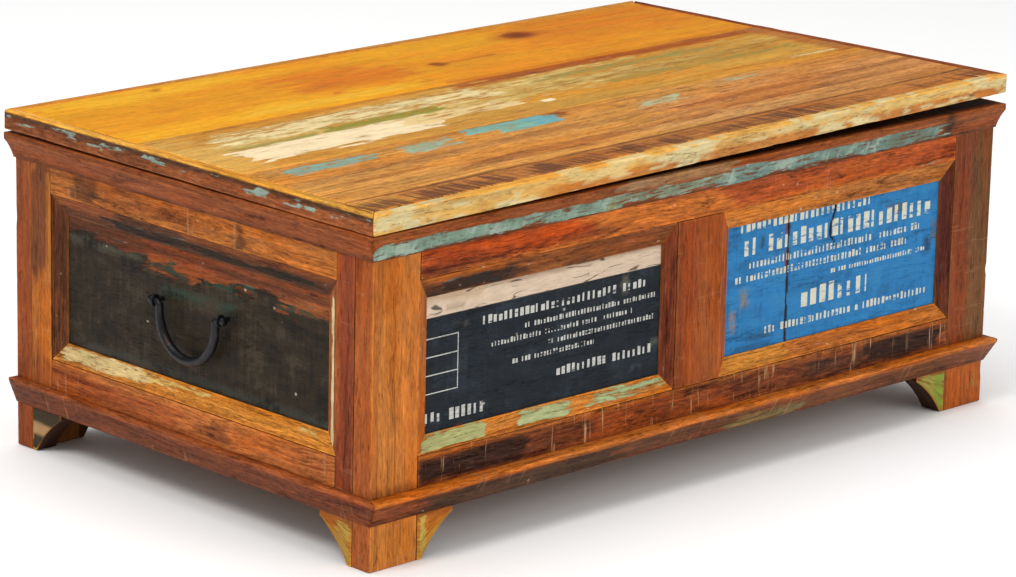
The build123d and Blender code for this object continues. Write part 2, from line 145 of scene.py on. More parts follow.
def mesh_lines(length, step, rounding, extra=()):
    """Positions of mesh lines along a length, closer together near both ends."""
    near = np.array([0, 0.3, 0.7, 1.3, 2.4]) * rounding
    near = near[near < 0.3 * length]
    count = max(2, math.ceil((length - 2 * near[-1]) / step) + 1)
    inner = np.linspace(near[-1], length - near[-1], count)
    lines = np.concatenate([near, inner, length - near, np.asarray(extra, float)])
    return np.unique(np.round(lines, 7))


def shell_of(counts):
    """Grid positions on the surface of a block of cells, and the quads that join them."""
    surface = np.zeros(counts, bool)
    surface[[0, -1]] = True
    surface[:, [0, -1]] = True
    surface[:, :, [0, -1]] = True
    ids = np.full(counts, -1)
    ids[surface] = np.arange(surface.sum())
    quads = []
    for plane, flip in (
        (ids[:, :, -1], False),
        (ids[:, :, 0], True),
        (ids[:, -1, :], True),
        (ids[:, 0, :], False),
        (ids[-1, :, :], False),
        (ids[0, :, :], True),
    ):
        quad = np.stack([plane[:-1, :-1], plane[1:, :-1], plane[1:, 1:], plane[:-1, 1:]], -1)
        quad = quad.reshape(-1, 4)
        quads.append(quad[:, ::-1] if flip else quad)
    return np.argwhere(surface), np.concatenate(quads)


GRAIN_SHIFT = np.array([3.71, 1.37, 0.53])


class Piece:
    """A mesh under construction, with the finish of every vertex."""

    count = 0

    def __init__(self, name, nodes, body, points, faces, local, edge, face):
        Piece.count += 1
        self.seed = Piece.count
        self.name = name
        self.nodes = nodes
        self.body = body
        self.points = points
        self.faces = faces
        self.local = local
        self.edge = edge
        self.face = face
        self.sheet = points[:, :2] / MM
        self.along_sheet = True
        self.tint = np.full((len(points), 3), 0.3)
        self.paint = np.full((len(points), 3), 0.5)
        self.cover = np.zeros(len(points))
        self.groove = np.zeros(len(points))

    def unroll(self, wall):
        """Lay the piece on the sheet of its wall or of the lid."""
        x, y, z = self.points.T / MM
        across = {
            "front": x - wall_low["x"],
            "back": -x - wall_low["x"],
            "left_end": -y - wall_low["y"],
            "right_end": y - wall_low["y"],
            "lid": x - lid_low[0] / MM,
        }[wall]
        upward = lid_high[1] / MM - y if wall == "lid" else z
        self.sheet = np.stack([across, upward], 1)
        return self

    def patch_cover(self, spot, seed):
        """How much of a patch lies on each vertex, from 0 to 1."""
        run, drift = (spot["run"], spot["drift"])
        along, across = (40.0, 5.0)
        if not self.along_sheet:
            run, drift = drift, run
            along, across = across, along
        field = np.column_stack([self.sheet / (along, across), np.full(len(self.sheet), 0.5)])
        low_p, high_p, low_q, high_q = spot["box"]
        p, q = self.sheet.T
        ragged_p = run * (2 * noise(field, 1, seed, 2) - 1)
        ragged_q = drift * (2 * noise(field, 1, seed + 50, 2) - 1)
        if spot["round"]:
            half_p, half_q = (high_p - low_p) / 2, (high_q - low_q) / 2
            far = np.hypot((p - low_p - half_p + ragged_p) / half_p,
                           (q - low_q - half_q + ragged_q) / half_q)
            inside = (1 - far) * min(half_p, half_q)
        else:
            out_p = np.maximum(low_p - p, p - high_p) + ragged_p
            out_q = np.maximum(low_q - q, q - high_q) + ragged_q
            inside = -np.maximum(out_p, out_q)
        return smooth(inside, -spot["soft"], spot["soft"]) * spot["amount"] * self.face

    def stain(self, spots):
        """Colour the wood in patches."""
        for index, spot in enumerate(spots):
            amount = self.patch_cover(spot, self.seed + 7 * index)
            self.tint = blend_to(self.tint, spot["colour"], amount)
        return self

    def coat(self, spots):
        """Leave paint in patches."""
        for index, spot in enumerate(spots):
            amount = self.patch_cover(spot, self.seed + 7 * index + 300)
            self.paint = blend_to(self.paint, spot["colour"], np.minimum(1, 3 * amount))
            self.cover = np.maximum(self.cover, amount)
        return self

    def smear(self, spots):
        """Tint the paint that is there, without adding any."""
        for index, spot in enumerate(spots):
            amount = self.patch_cover(spot, self.seed + 7 * index + 600)
            self.paint = blend_to(self.paint, spot["colour"], amount)
        return self

    def build(self, material, slot):
        """Make the Blender object, give it its finish and let it ride on its body."""
        mesh = bpy.data.meshes.new(self.name)
        sizes = np.array([len(face) for face in self.faces])
        mesh.vertices.add(len(self.points))
        mesh.vertices.foreach_set("co", self.points.astype(np.float32).ravel())
        mesh.loops.add(int(sizes.sum()))
        mesh.loops.foreach_set("vertex_index", np.concatenate(list(self.faces)).astype(np.int32))
        mesh.polygons.add(len(sizes))
        mesh.polygons.foreach_set("loop_start", np.cumsum(sizes) - sizes)
        mesh.update(calc_edges=True)
        mesh.shade_smooth()
        layers = {
            "grain": self.local + GRAIN_SHIFT * self.seed,
            "tint": self.tint,
            "paint": self.paint,
            "cover": self.cover,
            "edge": self.edge,
            "groove": self.groove,
            "sheet": np.column_stack([self.sheet * MM, np.zeros(len(self.sheet))]),
        }
        for layer, values in layers.items():
            kind = "FLOAT_VECTOR" if values.ndim == 2 else "FLOAT"
            attribute = mesh.attributes.new(layer, kind, "POINT")
            key = "vector" if values.ndim == 2 else "value"
            attribute.data.foreach_set(key, values.astype(np.float32).ravel())
        piece = bpy.data.objects.new(self.name, mesh)
        bpy.context.scene.collection.objects.link(piece)
        mesh.materials.append(material)
        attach(piece, self.body)
        if self.nodes:
            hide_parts(*self.nodes)
        return piece


def joined(name, parts):
    """One piece made of several boards, each with its own stretch of grain."""
    whole = parts[0]
    starts = np.cumsum([0] + [len(part.points) for part in parts])
    whole.faces = np.concatenate([part.faces + start for part, start in zip(parts, starts)])
    for part in parts:
        part.local = part.local + GRAIN_SHIFT * (part.seed - whole.seed)
    for layer in ("points", "local", "edge", "tint", "paint", "cover", "groove", "sheet"):
        setattr(whole, layer, np.concatenate([getattr(part, layer) for part in parts]))
    whole.name = name
    return whole


def slab(name, nodes, body, corners, step=0.0035, rounding=0.0012, chip=0.0015, wave=0.00018,
         warp=None, extra=((), (), ())):
    """A worn board between eight corners. Its rounding varies and is chipped in places."""
    corners = np.asarray(corners, float)
    size = np.array([
        np.linalg.norm(corners[1] - corners[0], axis=-1).mean(),
        np.linalg.norm(corners[:, 1] - corners[:, 0], axis=-1).mean(),
        np.linalg.norm(corners[:, :, 1] - corners[:, :, 0], axis=-1).mean(),
    ])
    rounding = min(rounding, 0.3 * size.min())
    lines = [mesh_lines(size[i], step, rounding, extra[i]) for i in range(3)]
    grid, quads = shell_of([len(line) for line in lines])
    local = np.stack([lines[i][grid[:, i]] for i in range(3)], 1)

    seed = Piece.count + 1
    worn = 0.55 + 0.9 * noise(local, (14, 40, 40), seed, 2)
    chipped = smooth(noise(local, (45, 60, 60), seed + 90), 0.74, 0.9)
    radius = np.minimum(rounding * worn + chip * chipped, 0.45 * size.min())[:, None]
    half = size / 2
    centred = local - half
    core = np.clip(centred, radius - half, half - radius)
    away = centred - core
    length = np.linalg.norm(away, axis=1, keepdims=True)
    normal = away / np.maximum(length, 1e-9)
    ridges = noise(local, (6, 55, 55), seed + 20, 2) - 0.5
    swell = noise(local, (5, 12, 12), seed + 40) - 0.5
    rounded = core + normal * (radius + wave * (1.3 * ridges + 1.6 * swell)[:, None])

    part = (rounded + half) / size
    points = np.zeros_like(part)
    for a, b, c in np.ndindex(2, 2, 2):
        share = [part[:, i] if end else 1 - part[:, i] for i, end in enumerate((a, b, c))]
        points += (share[0] * share[1] * share[2])[:, None] * corners[a, b, c]
    if warp is not None:
        points = warp(points)

    spread = corners[1, 0, 0] - corners[0, 0, 0], corners[0, 1, 0] - corners[0, 0, 0]
    if np.dot(np.cross(*spread), corners[0, 0, 1] - corners[0, 0, 0]) < 0:
        quads = quads[:, ::-1]
    gap = np.sort(half - np.abs(centred), axis=1)
    edge = 1 - smooth(gap[:, 1], 0, 0.006)
    face = smooth(normal[:, 2], 0.15, 0.5)
    piece = Piece(name, nodes, body, points, quads, local, edge, face)
    piece.normal = normal
    along = np.abs(corners[1, 0, 0] - corners[0, 0, 0])
    piece.along_sheet = along.argmax() != 2
    return piece


def tunnel(rows, ring, turned):
    """Faces of a closed tube that is made of rings, with both its ends."""
    faces = []
    for here in range(0, rows * ring, ring):
        ahead = here + ring
        for column in range(ring):
            beside = (column + 1) % ring
            faces.append([here + column, ahead + column, ahead + beside, here + beside])
    faces.append(list(range(ring)))
    faces.append([rows * ring + column for column in reversed(range(ring))])
    return [face[::-1] for face in faces] if turned else faces


def dense_outline(section):
    """A closed section with points added along its longer sides."""
    outline = []
    for start, end in zip(section, section[1:] + section[:1]):
        count = max(1, round(math.dist(start, end) / SECTION_STEP))
        for share in np.arange(count) / count:
            outline.append([a + (b - a) * share for a, b in zip(start, end)])
    return np.array(outline)


def arrises(outline, reach):
    """1 at the proud corners of an outline, less beside them and 0 elsewhere."""
    before = outline - np.roll(outline, 1, 0)
    after = np.roll(outline, -1, 0) - outline
    bend = np.abs(before[:, 0] * after[:, 1] - before[:, 1] * after[:, 0])
    bend = bend / np.maximum(np.hypot(*before.T) * np.hypot(*after.T), 1e-12)
    arris = np.where(outline[:, 0] > 0.35 * reach, smooth(bend, 0.1, 0.5), 0)
    return np.maximum(arris, 0.45 * (np.roll(arris, 1) + np.roll(arris, -1)))


def moulding(name, node, wall, section, reaches):
    """A mitred run of moulding along a wall. The section lists (outward, up) points from the
    wall face down and round, and reaches says how far the moulding stands out on each wall."""
    low, high = body_run[wall]
    low_reach, high_reach = (reaches[side] for side in NEIGHBOURS[wall])
    outline = dense_outline(section)
    ring = len(outline)
    rows = math.ceil((high - low) / MOULDING_STEP)
    beyond = outline[:, 0] / reaches[wall]
    start = low - low_reach * beyond
    stop = high + high_reach * beyond
    along = (start + (stop - start) * np.linspace(0, 1, rows + 1)[:, None]).ravel()

    turn = np.cumsum(np.r_[0, np.hypot(*np.diff(outline, axis=0).T)])
    local = np.column_stack([along, np.tile(turn, rows + 1), 0 * along])
    edge = np.tile(arrises(outline, reaches[wall]), rows + 1)
    inward = outline.mean(0) - outline
    inward = inward / np.maximum(np.hypot(*inward.T), 1e-9)[:, None]
    seed = Piece.count + 1
    dent = noise(local, (30, 60, 60), seed, 2)
    chips = smooth(noise(local, (55, 90, 90), seed + 9), 0.72, 0.88)
    push = edge * (0.0002 + 0.0006 * dent + 0.0012 * chips) + 0.00015 * (dent - 0.5)
    push = push * np.tile(outline[:, 0] > 0.0005, rows + 1)
    worn = np.tile(outline, (rows + 1, 1)) + push[:, None] * np.tile(inward, (rows + 1, 1))

    points = place_on(wall, along, *worn.T)
    faces = tunnel(rows, ring, wall_turns(wall))
    piece = Piece(name, [node], "chest_body", points, faces, local, edge, np.ones(len(points)))
    return piece.unroll(wall)


# for each wall: the way it runs seen from outside, and the way outwards
WALLS = {
    "front": ("+x", "-y"),
    "back": ("-x", "+y"),
    "left_end": ("-y", "-x"),
    "right_end": ("+y", "+x"),
}
LONG_WALLS = ("front", "back")
END_WALLS = ("left_end", "right_end")
NEIGHBOURS = {wall: END_WALLS if wall in LONG_WALLS else LONG_WALLS for wall in WALLS}


def place_on(wall, along, out, up):
    """Points given along a wall, out from its face and up, in the row frame."""
    run, outward = WALLS[wall]
    points = np.zeros((len(along), 3))
    points[:, AXES[run[1]]] = along
    points[:, AXES[outward[1]]] = face_at[wall] + SIGN[outward[0]] * out
    points[:, 2] = up
    return points


def wall_turns(wall):
    """Whether along, outward and up make a mirrored set of axes on this wall."""
    run, outward = WALLS[wall]
    axes = np.zeros((3, 3))
    axes[0, AXES[run[1]]] = 1
    axes[1, AXES[outward[1]]] = SIGN[outward[0]]
    axes[2, 2] = 1
    return np.linalg.det(axes) > 0


# ---------------------------------------------------------------- shaders


def is_vector(value):
    """Whether a value of a node tree is a vector or a colour."""
    return isinstance(value, Value) and value.socket.type in ("VECTOR", "RGBA")


class Value:
    """A number, vector or colour of a node tree. Its arithmetic adds the nodes."""

    def __init__(self, graph, socket):
        self.graph = graph
        self.socket = socket

    def math(self, operation, other=0.0):
        """This value with another, as vectors if either of them is one."""
        pair = (self, other)
        if not any(isinstance(value, tuple) or is_vector(value) for value in pair):
            return self.graph.value("ShaderNodeMath", dict(enumerate(pair)), operation=operation)
        pair = ((value,) * 3 if isinstance(value, float) else value for value in pair)
        return self.graph.value("ShaderNodeVectorMath", dict(enumerate(pair)), operation=operation)

    def __add__(self, other):
        return self.math("ADD", other)

    def __sub__(self, other):
        return self.math("SUBTRACT", other)

    def __mul__(self, other):
        return self.math("MULTIPLY", other)

    def __gt__(self, other):
        return self.math("GREATER_THAN", other)

    def __lt__(self, other):
        return self.math("LESS_THAN", other)

    def __abs__(self):
        return self.math("ABSOLUTE")

    __radd__ = __add__
    __rmul__ = __mul__

    def within(self, low, high):
        """1 between two limits, 0 elsewhere."""
        return (self > low) * (self < high)

    def spread(self, gain):
        """The difference from a half, times a gain."""
        return (self - 0.5) * gain

    def smooth(self, low, high, start=0.0, end=1.0):
        """From start at low to end at high, softly."""
        return self.graph.value("ShaderNodeMapRange", {
            "Value": self, "From Min": low, "From Max": high, "To Min": start, "To Max": end,
        }, interpolation_type="SMOOTHSTEP")


class Graph:
    """The node tree of a material or of the world."""

    def __init__(self, owner):
        owner.use_nodes = True
        self.owner = owner
        self.tree = owner.node_tree
        self.tree.nodes.clear()

    def node(self, kind, inputs=None, **settings):
        made = self.tree.nodes.new(kind)
        for key, setting in settings.items():
            setattr(made, key, setting)
        for key, value in (inputs or {}).items():
            if isinstance(value, Value):
                self.tree.links.new(value.socket, made.inputs[key])
            else:
                made.inputs[key].default_value = value
        return made

    def value(self, kind, inputs=None, output=0, **settings):
        return Value(self, self.node(kind, inputs, **settings).outputs[output])

    def attribute(self, name, output="Fac"):
        return self.value("ShaderNodeAttribute", output=output, attribute_name=name)

    def parts(self, vector):
        split = self.node("ShaderNodeSeparateXYZ", {0: vector})
        return [Value(self, output) for output in split.outputs]

    def noise(self, vector, factors, detail=2.0, rough=0.5):
        return self.value("ShaderNodeTexNoise", {
            "Vector": vector * factors, "Scale": 1.0, "Detail": detail, "Roughness": rough,
        }, "Fac")

    def mix(self, amount, a, b):
        """Colour a where the amount is 0 and colour b where it is 1."""
        a, b = ((*colour, 1.0) if isinstance(colour, tuple) else colour for colour in (a, b))
        # the node has a set of sockets for each data type: these are the ones for colours
        return self.value("ShaderNodeMix", {0: amount, 6: a, 7: b}, 2, data_type="RGBA")

    def darkened(self, colour, factors, amount):
        """Multiply a colour by three factors where the amount is 1."""
        return self.mix(amount, colour, colour * factors)

    def finish(self, colour, roughness, height, depth, metallic=0.0, specular=0.5):
        bump = self.value("ShaderNodeBump", {"Height": height, "Strength": 1.0, "Distance": depth})
        shader = self.value("ShaderNodeBsdfPrincipled", {
            "Base Color": colour,
            "Roughness": roughness,
            "Metallic": metallic,
            "Specular IOR Level": specular,
            "Normal": bump,
        })
        self.node("ShaderNodeOutputMaterial", {"Surface": shader})
        return self.owner


# what a wood may differ in
WOOD = {
    "contrast": 0.9,  # of the grain
    "dark": 0.35,  # dark lines along the grain
    "dirt": 0.4,
    "cracks": 0.7,
    "grit": 0.55,  # small dark and pale nicks
    "wear": 0.5,  # paler wood on the arrises
    "vivid": 1.04,  # saturation
    "bite": 1.0,  # how ragged the paint is
    "fade": 0.04,  # how softly the paint ends
    "uneven": 1.0,  # how far the paint varies in tone
    "mottle": (),  # two more shades of the paint
    "marks": (),  # rows of stencilled bars
    "grid": (),  # a ruled box
    "mark_colour": (0.8, 0.8, 0.75),
    "cuts": 0.0,  # long brush strokes on the pale band
    "specks": 0.0,
    "pick": 0.9,  # the part of all places that has no speck
    "speck_colour": (0.75, 0.72, 0.6),
    "scratches": 0.0,
    "scratch_area": 0.5,  # lower is more
    "saw": False,  # saw marks, and not a torn crack, in the grooves
    "gloss": 0.42,  # roughness of the bare wood
    "paint_gloss": 0.5,  # roughness of the paint
    "shine": 0.10,  # strength of the reflection
    "depth": 0.0006,  # of the relief, in metres
}


def grain_layers(graph):
    """Grain coordinates with a slow waver, four sizes of grain and the soiled places."""
    grain = graph.attribute("grain", "Vector")
    waver = graph.noise(grain, (7, 16, 16), 1.0) * 0.016
    wavy = grain + graph.value("ShaderNodeCombineXYZ", {1: waver})
    return SimpleNamespace(
        wavy=wavy,
        broad=graph.noise(wavy, (3.2, 34, 34), 3.0),
        streak=graph.noise(wavy, (13, 300, 160), 5.0, 0.64),
        grime=graph.noise(wavy, (34, 130, 130), 8.0, 0.72),
        fine=graph.noise(wavy, (70, 1500, 700), 2.0),
        soil=graph.noise(wavy, (16, 60, 60), 9.0, 0.74),
    )


def bare_wood(graph, grain, look):
    """Colour of the waxed wood, and where its pores and cracks are."""
    contrast = look.contrast
    tone = (1.0 + grain.broad.spread(contrast) + grain.streak.spread(1.5 * contrast)
            + grain.grime.spread(1.7 * contrast) + grain.fine.spread(0.7 * contrast))
    tint = graph.attribute("tint", "Vector") * PIGMENT
    flecks = graph.noise(grain.wavy, (120, 620, 500), 3.0, 0.7)
    colour = tint * tone.math("MAXIMUM", 0.22) * (1.0 + flecks.spread(1.6 * contrast))
    warm = graph.noise(grain.wavy, (4, 30, 30), 3.0).smooth(0.44, 0.62, 0.0, 0.8)
    colour = graph.darkened(colour, (1.05, 0.86, 0.62), warm)
    line = graph.noise(grain.wavy, (4.5, 150, 80), 4.0, 0.62) + grain.grime.spread(0.5)
    colour = graph.darkened(colour, (0.42, 0.26, 0.18), line.smooth(0.56, 0.68) * look.dark)
    soiled = grain.soil.smooth(0.55, 0.70)
    colour = graph.darkened(colour, (0.34, 0.24, 0.20), soiled * look.dirt)
    pores = grain.fine.smooth(0.40, 0.28)
    colour = graph.darkened(colour, (0.5, 0.38, 0.32), pores * 0.5)
    hairline = abs(graph.noise(grain.wavy, (7, 95, 60), 6.0, 0.7) - 0.5)
    split = hairline.smooth(0.011, 0.002) * grain.soil.smooth(0.48, 0.58)
    colour = graph.darkened(colour, (0.26, 0.17, 0.13), split * look.cracks)
    nick = graph.noise(grain.wavy, (60, 270, 240), 6.0, 0.74)
    colour = graph.darkened(colour, (0.36, 0.25, 0.20), nick.smooth(0.575, 0.64) * look.grit)
    paler = colour * 1.15 + (0.07, 0.045, 0.024)
    colour = graph.mix(nick.smooth(0.43, 0.37) * (0.75 * look.grit), colour, paler)
    worn = (graph.attribute("edge") + grain.grime.spread(1.6)).smooth(0.55, 1.05)
    lighter = colour * 1.3 + (0.05, 0.024, 0.006)
    return graph.mix(worn * look.wear, colour, lighter), pores, split


def paint_film(graph, grain, look):
    """How much paint is left: all of it, and the thin remains round it."""
    left = (graph.attribute("cover") + grain.grime.spread(1.2 * look.bite)
            + grain.streak.spread(0.7 * look.bite) + grain.fine.spread(0.25 * look.bite)
            + graph.attribute("edge") * -0.22)
    return left.smooth(0.5 - look.fade, 0.5 + look.fade), left.smooth(0.34, 0.52)


def paint_colour(graph, grain, look):
    """Colour of the paint, with its mottling, its stencilled marks and its brush strokes."""
    shade = 1.0 + grain.broad.spread(0.4 * look.uneven) + grain.grime.spread(0.7 * look.uneven)
    paint = graph.attribute("paint", "Vector") * (shade * PIGMENT)
    height = graph.parts(graph.attribute("sheet", "Vector"))[1]
    if look.mottle:
        cloudy = graph.noise(grain.wavy, (22, 34, 34), 7.0, 0.72)
        upright = graph.noise(grain.wavy, (260, 16, 30), 4.0, 0.62)
        patchy = cloudy + upright.spread(0.38)
        where = (height < BAND_FROM) if look.cuts else 1.0
        for limit, shade in zip((0.64, 0.36), look.mottle):
            paint = graph.mix(patchy.smooth(0.49, limit) * where, paint, shade)
    if look.marks:
        paint = graph.mix(printed(graph, look.marks, grain.grime), paint, look.mark_colour)
    if look.grid:
        paint = graph.mix(ruled(graph, look.grid) * 0.85, paint, look.mark_colour)
    if look.cuts:
        near = abs(graph.noise(grain.wavy, (16, 105, 105), 1.0) - 0.5)
        where = graph.noise(grain.wavy, (24, 40, 40), 2.0).smooth(0.50, 0.55)
        brush = near.smooth(0.030, 0.012) * where * (height > BAND_FROM)
        paint = graph.mix(brush * look.cuts, paint, (0.03, 0.022, 0.018))
    soiled = grain.soil.smooth(0.55, 0.70)
    return graph.darkened(paint, (0.45, 0.36, 0.30), soiled * (0.55 * look.dirt))


def specked(graph, grain, look, colour):
    """Scattered specks, each in its own cell."""
    place = {"Vector": grain.wavy * (95, 120, 120), "Scale": 1.0}
    dots = graph.node("ShaderNodeTexVoronoi", place)
    far = Value(graph, dots.outputs["Distance"]) + grain.grime.spread(0.5)
    choice = graph.parts(Value(graph, dots.outputs["Color"]))[0]
    spot = far.smooth(0.20, 0.12) * choice.smooth(look.pick, look.pick + 0.02)
    return graph.mix(spot * look.specks, colour, look.speck_colour)


def scratched(graph, grain, look, colour):
    """Short pale scratches across the grain."""
    cut = graph.noise(grain.wavy, (170, 12, 40), 3.0, 0.7).smooth(0.585, 0.66)
    area = graph.noise(grain.wavy, (9, 9, 9), 2.0)
    scored = cut * area.smooth(look.scratch_area, look.scratch_area + 0.1)
    return graph.mix(scored * look.scratches, colour, (0.42, 0.24, 0.12))


def grooved(graph, grain, look, colour):
    """Slanting saw marks, or a dark torn crack, where the board has grooves."""
    groove = graph.attribute("groove")
    if not look.saw:
        dug = (groove + grain.streak.spread(0.7)).smooth(0.35, 0.6)
        return graph.mix(dug * 0.9, colour, (0.022, 0.014, 0.011)), dug
    place = {"Vector": graph.attribute("sheet", "Vector"), "Angle": SAW_SLANT}
    slanted = graph.value("ShaderNodeVectorRotate", place, rotation_type="Z_AXIS")
    bars = graph.noise(slanted, (250, 12, 1), 4.0, 0.66)
    dug = (groove + bars.spread(3.2)).smooth(0.60, 0.92) * groove.smooth(0.02, 0.3)
    return graph.mix(dug * 0.82, colour, (0.115, 0.040, 0.016)), dug


def wood(name, **changes):
    """Old waxed wood with remains of paint, driven by the vertex layers."""
    look = SimpleNamespace(**{**WOOD, **changes})
    graph = Graph(bpy.data.materials.new(name))
    grain = grain_layers(graph)
    colour, pores, split = bare_wood(graph, grain, look)
    film, thin = paint_film(graph, grain, look)
    paint = paint_colour(graph, grain, look)
    colour = graph.mix(film, graph.mix(thin * 0.5, colour, paint), paint)
    colour = graph.value("ShaderNodeHueSaturation", {"Color": colour, "Saturation": look.vivid})
    if look.specks:
        colour = specked(graph, grain, look, colour)
    if look.scratches:
        colour = scratched(graph, grain, look, colour)
    colour, dug = grooved(graph, grain, look, colour)
    rough = (look.gloss + grain.grime.spread(0.3) + pores * 0.12
             + film * (look.paint_gloss - look.gloss))
    height = (grain.streak * 0.5 + grain.grime * 0.45 + grain.fine * 0.25 + film * 0.35
              + pores * -0.3 + split * (-0.5 * look.cracks) + dug * -0.6)
    return graph.finish(colour, rough, height, look.depth, specular=look.shine)


def printed(graph, rows, wearing):
    """Rows of plain upright bars of uneven width, like stencilled tally marks. A row is
    start, stop, bottom, height, pitch of the bars and the part of them that is there."""
    p, q = graph.parts(graph.attribute("sheet", "Vector"))[:2]
    total = 0.0
    for index, (start, stop, bottom, height, pitch, fill) in enumerate(rows):
        step = (p - start * MM) * (1 / (pitch * MM))
        cell = graph.value("ShaderNodeCombineXYZ", {0: step.math("FLOOR"), 1: float(index)})
        chance = graph.node("ShaderNodeTexWhiteNoise", {"Vector": cell})
        random = graph.parts(Value(graph, chance.outputs["Color"]))
        bar = step.math("FRACT") < 0.3 + random[1] * 0.45
        present = Value(graph, chance.outputs["Value"]) < fill
        top = bottom * MM + random[2].smooth(0.0, 1.0, 0.75, 1.0) * (height * MM)
        in_row = p.within(start * MM, stop * MM) * q.within(bottom * MM, top)
        total = total + bar * present * in_row
    return total.math("MINIMUM", 1.0) * wearing.smooth(0.40, 0.47) * 0.9


def ruled(graph, grid, line=1.1):
    """The lines of a box open at its left, ruled into a number of equal rows."""
    start, stop, bottom, top, rows = grid
    p, q = (part * (1 / MM) for part in graph.parts(graph.attribute("sheet", "Vector"))[:2])
    half = line / 2
    pitch = (top - bottom) / rows
    level = ((q + (half - bottom)) * (1 / pitch)).math("FRACT") < line / pitch
    lines = level.math("MAXIMUM", p > stop - half)
    return lines * p.within(start - half, stop + half) * q.within(bottom - half, top + half)


def metal(name, colour, rough, hammer, rust):
    """Forged or plated metal with a hammered or brushed surface and a little rust."""
    graph = Graph(bpy.data.materials.new(name))
    place = graph.value("ShaderNodeTexCoord", output="Object")
    dents = graph.noise(place, (130, 130, 130), 2.0)
    fine = graph.noise(place, (900, 900, 900), 2.0)
    rusty = graph.noise(place, (60, 60, 60), 3.0, 0.6).smooth(0.60, 0.72, 0.0, rust)
    tone = 1.0 + dents.spread(0.8) + fine.spread(0.4)
    shade = graph.mix(rusty, tone * colour, (0.16, 0.06, 0.025))
    roughness = rough + fine.spread(0.2) + rusty * 0.3
    return graph.finish(shade, roughness, dents * hammer + fine * 0.15, 0.0006, metallic=0.75)


# ---------------------------------------------------------------- colours and patches

INSIDE = rgb("8a5a34")
# dark colour for the board sides at the joints; the same colour is painted shade on the inner
# faces of the foot brackets
JOINT_AND_SHADE = rgb("3c2418")
PINKCREAM = rgb("dcc5ad")
TEAL = rgb("7c9482")
NAVY = rgb("20262c")
BLUE = rgb("2a7ab4")
COAL = rgb("30281d")
DEEPGREEN = rgb("2f4436")


def patch(p_low, p_high, q_low, q_high, colour, amount=1.0, run=10.0, drift=2.5, soft=3.0,
          round=False):
    """A ragged rectangle on a sheet, in millimetres, or an oval. Run is its raggedness along
    the grain."""
    colour = rgb(colour) if isinstance(colour, str) else colour
    return {"box": (p_low, p_high, q_low, q_high), "colour": colour, "amount": amount,
            "run": run, "drift": drift, "soft": soft, "round": round}


# ---------------------------------------------------------------- frame of the chest

front_leg_low, front_leg_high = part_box("front_left_leg")
back_leg_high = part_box("back_right_leg")[1]
wall_low = {"x": front_leg_low[0] / MM, "y": front_leg_low[1] / MM}
face_at = {
    "front": front_leg_low[1],
    "back": back_leg_high[1],
    "left_end": front_leg_low[0],
    "right_end": back_leg_high[0],
}
rim = front_leg_high[2]
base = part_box("front_bottom_rail")[0][2]
opening_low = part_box("front_bottom_rail")[1][2]
opening_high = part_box("front_top_rail")[0][2]
board = front_leg_high[1] - front_leg_low[1]

front_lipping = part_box("lid_front_lipping")
back_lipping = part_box("lid_back_lipping")
lid_thickness = back_lipping[1][2] - back_lipping[0][2]
lid_low = (front_lipping[0][0], front_lipping[0][1])
lid_high = (front_lipping[1][0], back_lipping[1][1])


def lid_underside(x, y):
    """Height of the lid's underside, which is flat over the hinges and twists forwards."""
    flat_edge = lid_high[1] - FLAT_STRIP
    forward = np.clip((flat_edge - y) / (flat_edge - lid_low[1]), 0, None)
    across = (x - lid_low[0]) / (lid_high[0] - lid_low[0])
    right = front_lipping[1][2] - lid_thickness
    front = front_lipping[0][2] + (right - front_lipping[0][2]) * across
    return back_lipping[0][2] + (front - back_lipping[0][2]) * forward


def on_lid(points):
    """Lift points from the flat lid to the twisted one."""
    lifted = points.copy()
    lifted[:, 2] += lid_underside(points[:, 0], points[:, 1])
    return lifted


# ---------------------------------------------------------------- materials

plank_wood = wood("honey_wood", contrast=0.34, vivid=1.06, dark=0.25, dirt=0.12, cracks=0.3,
                  gloss=0.36, shine=0.22, wear=0.2, bite=0.6, grit=0.15)
scored_wood = wood("scored_wood", contrast=1.25, dark=0.7, dirt=0.8, cracks=0.9, gloss=0.45,
                   scratches=1.0, scratch_area=0.42)
painted_plank = wood("painted_plank", contrast=0.5, cracks=0.5, fade=0.09, dark=0.3, dirt=0.25,
                     gloss=0.38, shine=0.22, wear=0.3, bite=1.25, grit=0.35)
brown_plank = wood("brown_plank", contrast=0.85, fade=0.12, dark=0.55, dirt=0.4, gloss=0.38,
                   shine=0.22, wear=0.3, bite=1.4, saw=True)
frame_wood = wood("frame_wood", contrast=0.66, dark=0.5, dirt=0.5, gloss=0.45, scratches=0.2)
rail_wood = wood("rail_wood", contrast=1.15, dark=0.75, dirt=0.9, cracks=0.9, gloss=0.45,
                 scratches=0.35, bite=1.2, specks=0.3, pick=0.97)
trim_wood = wood("trim_wood", contrast=1.1, dark=0.65, dirt=0.8, cracks=0.9, gloss=0.45, bite=1.6,
                 specks=0.3, pick=0.96, uneven=2.2)
pale_edging = wood("pale_edging", contrast=0.34, dark=0.3, dirt=0.3, cracks=0.7, gloss=0.45,
                   wear=0.3, grit=0.5)
crown_wood = wood("crown_wood", contrast=0.85, dark=0.5, dirt=0.9, gloss=0.48, bite=1.8,
                  paint_gloss=0.55, specks=0.7, pick=0.80, speck_colour=(0.10, 0.05, 0.03),
                  mottle=((0.13, 0.17, 0.13), (0.30, 0.38, 0.31)))
inner_wood = wood("inner_wood", contrast=0.6, dark=0.3, dirt=0.3, gloss=0.6, depth=0.0004)
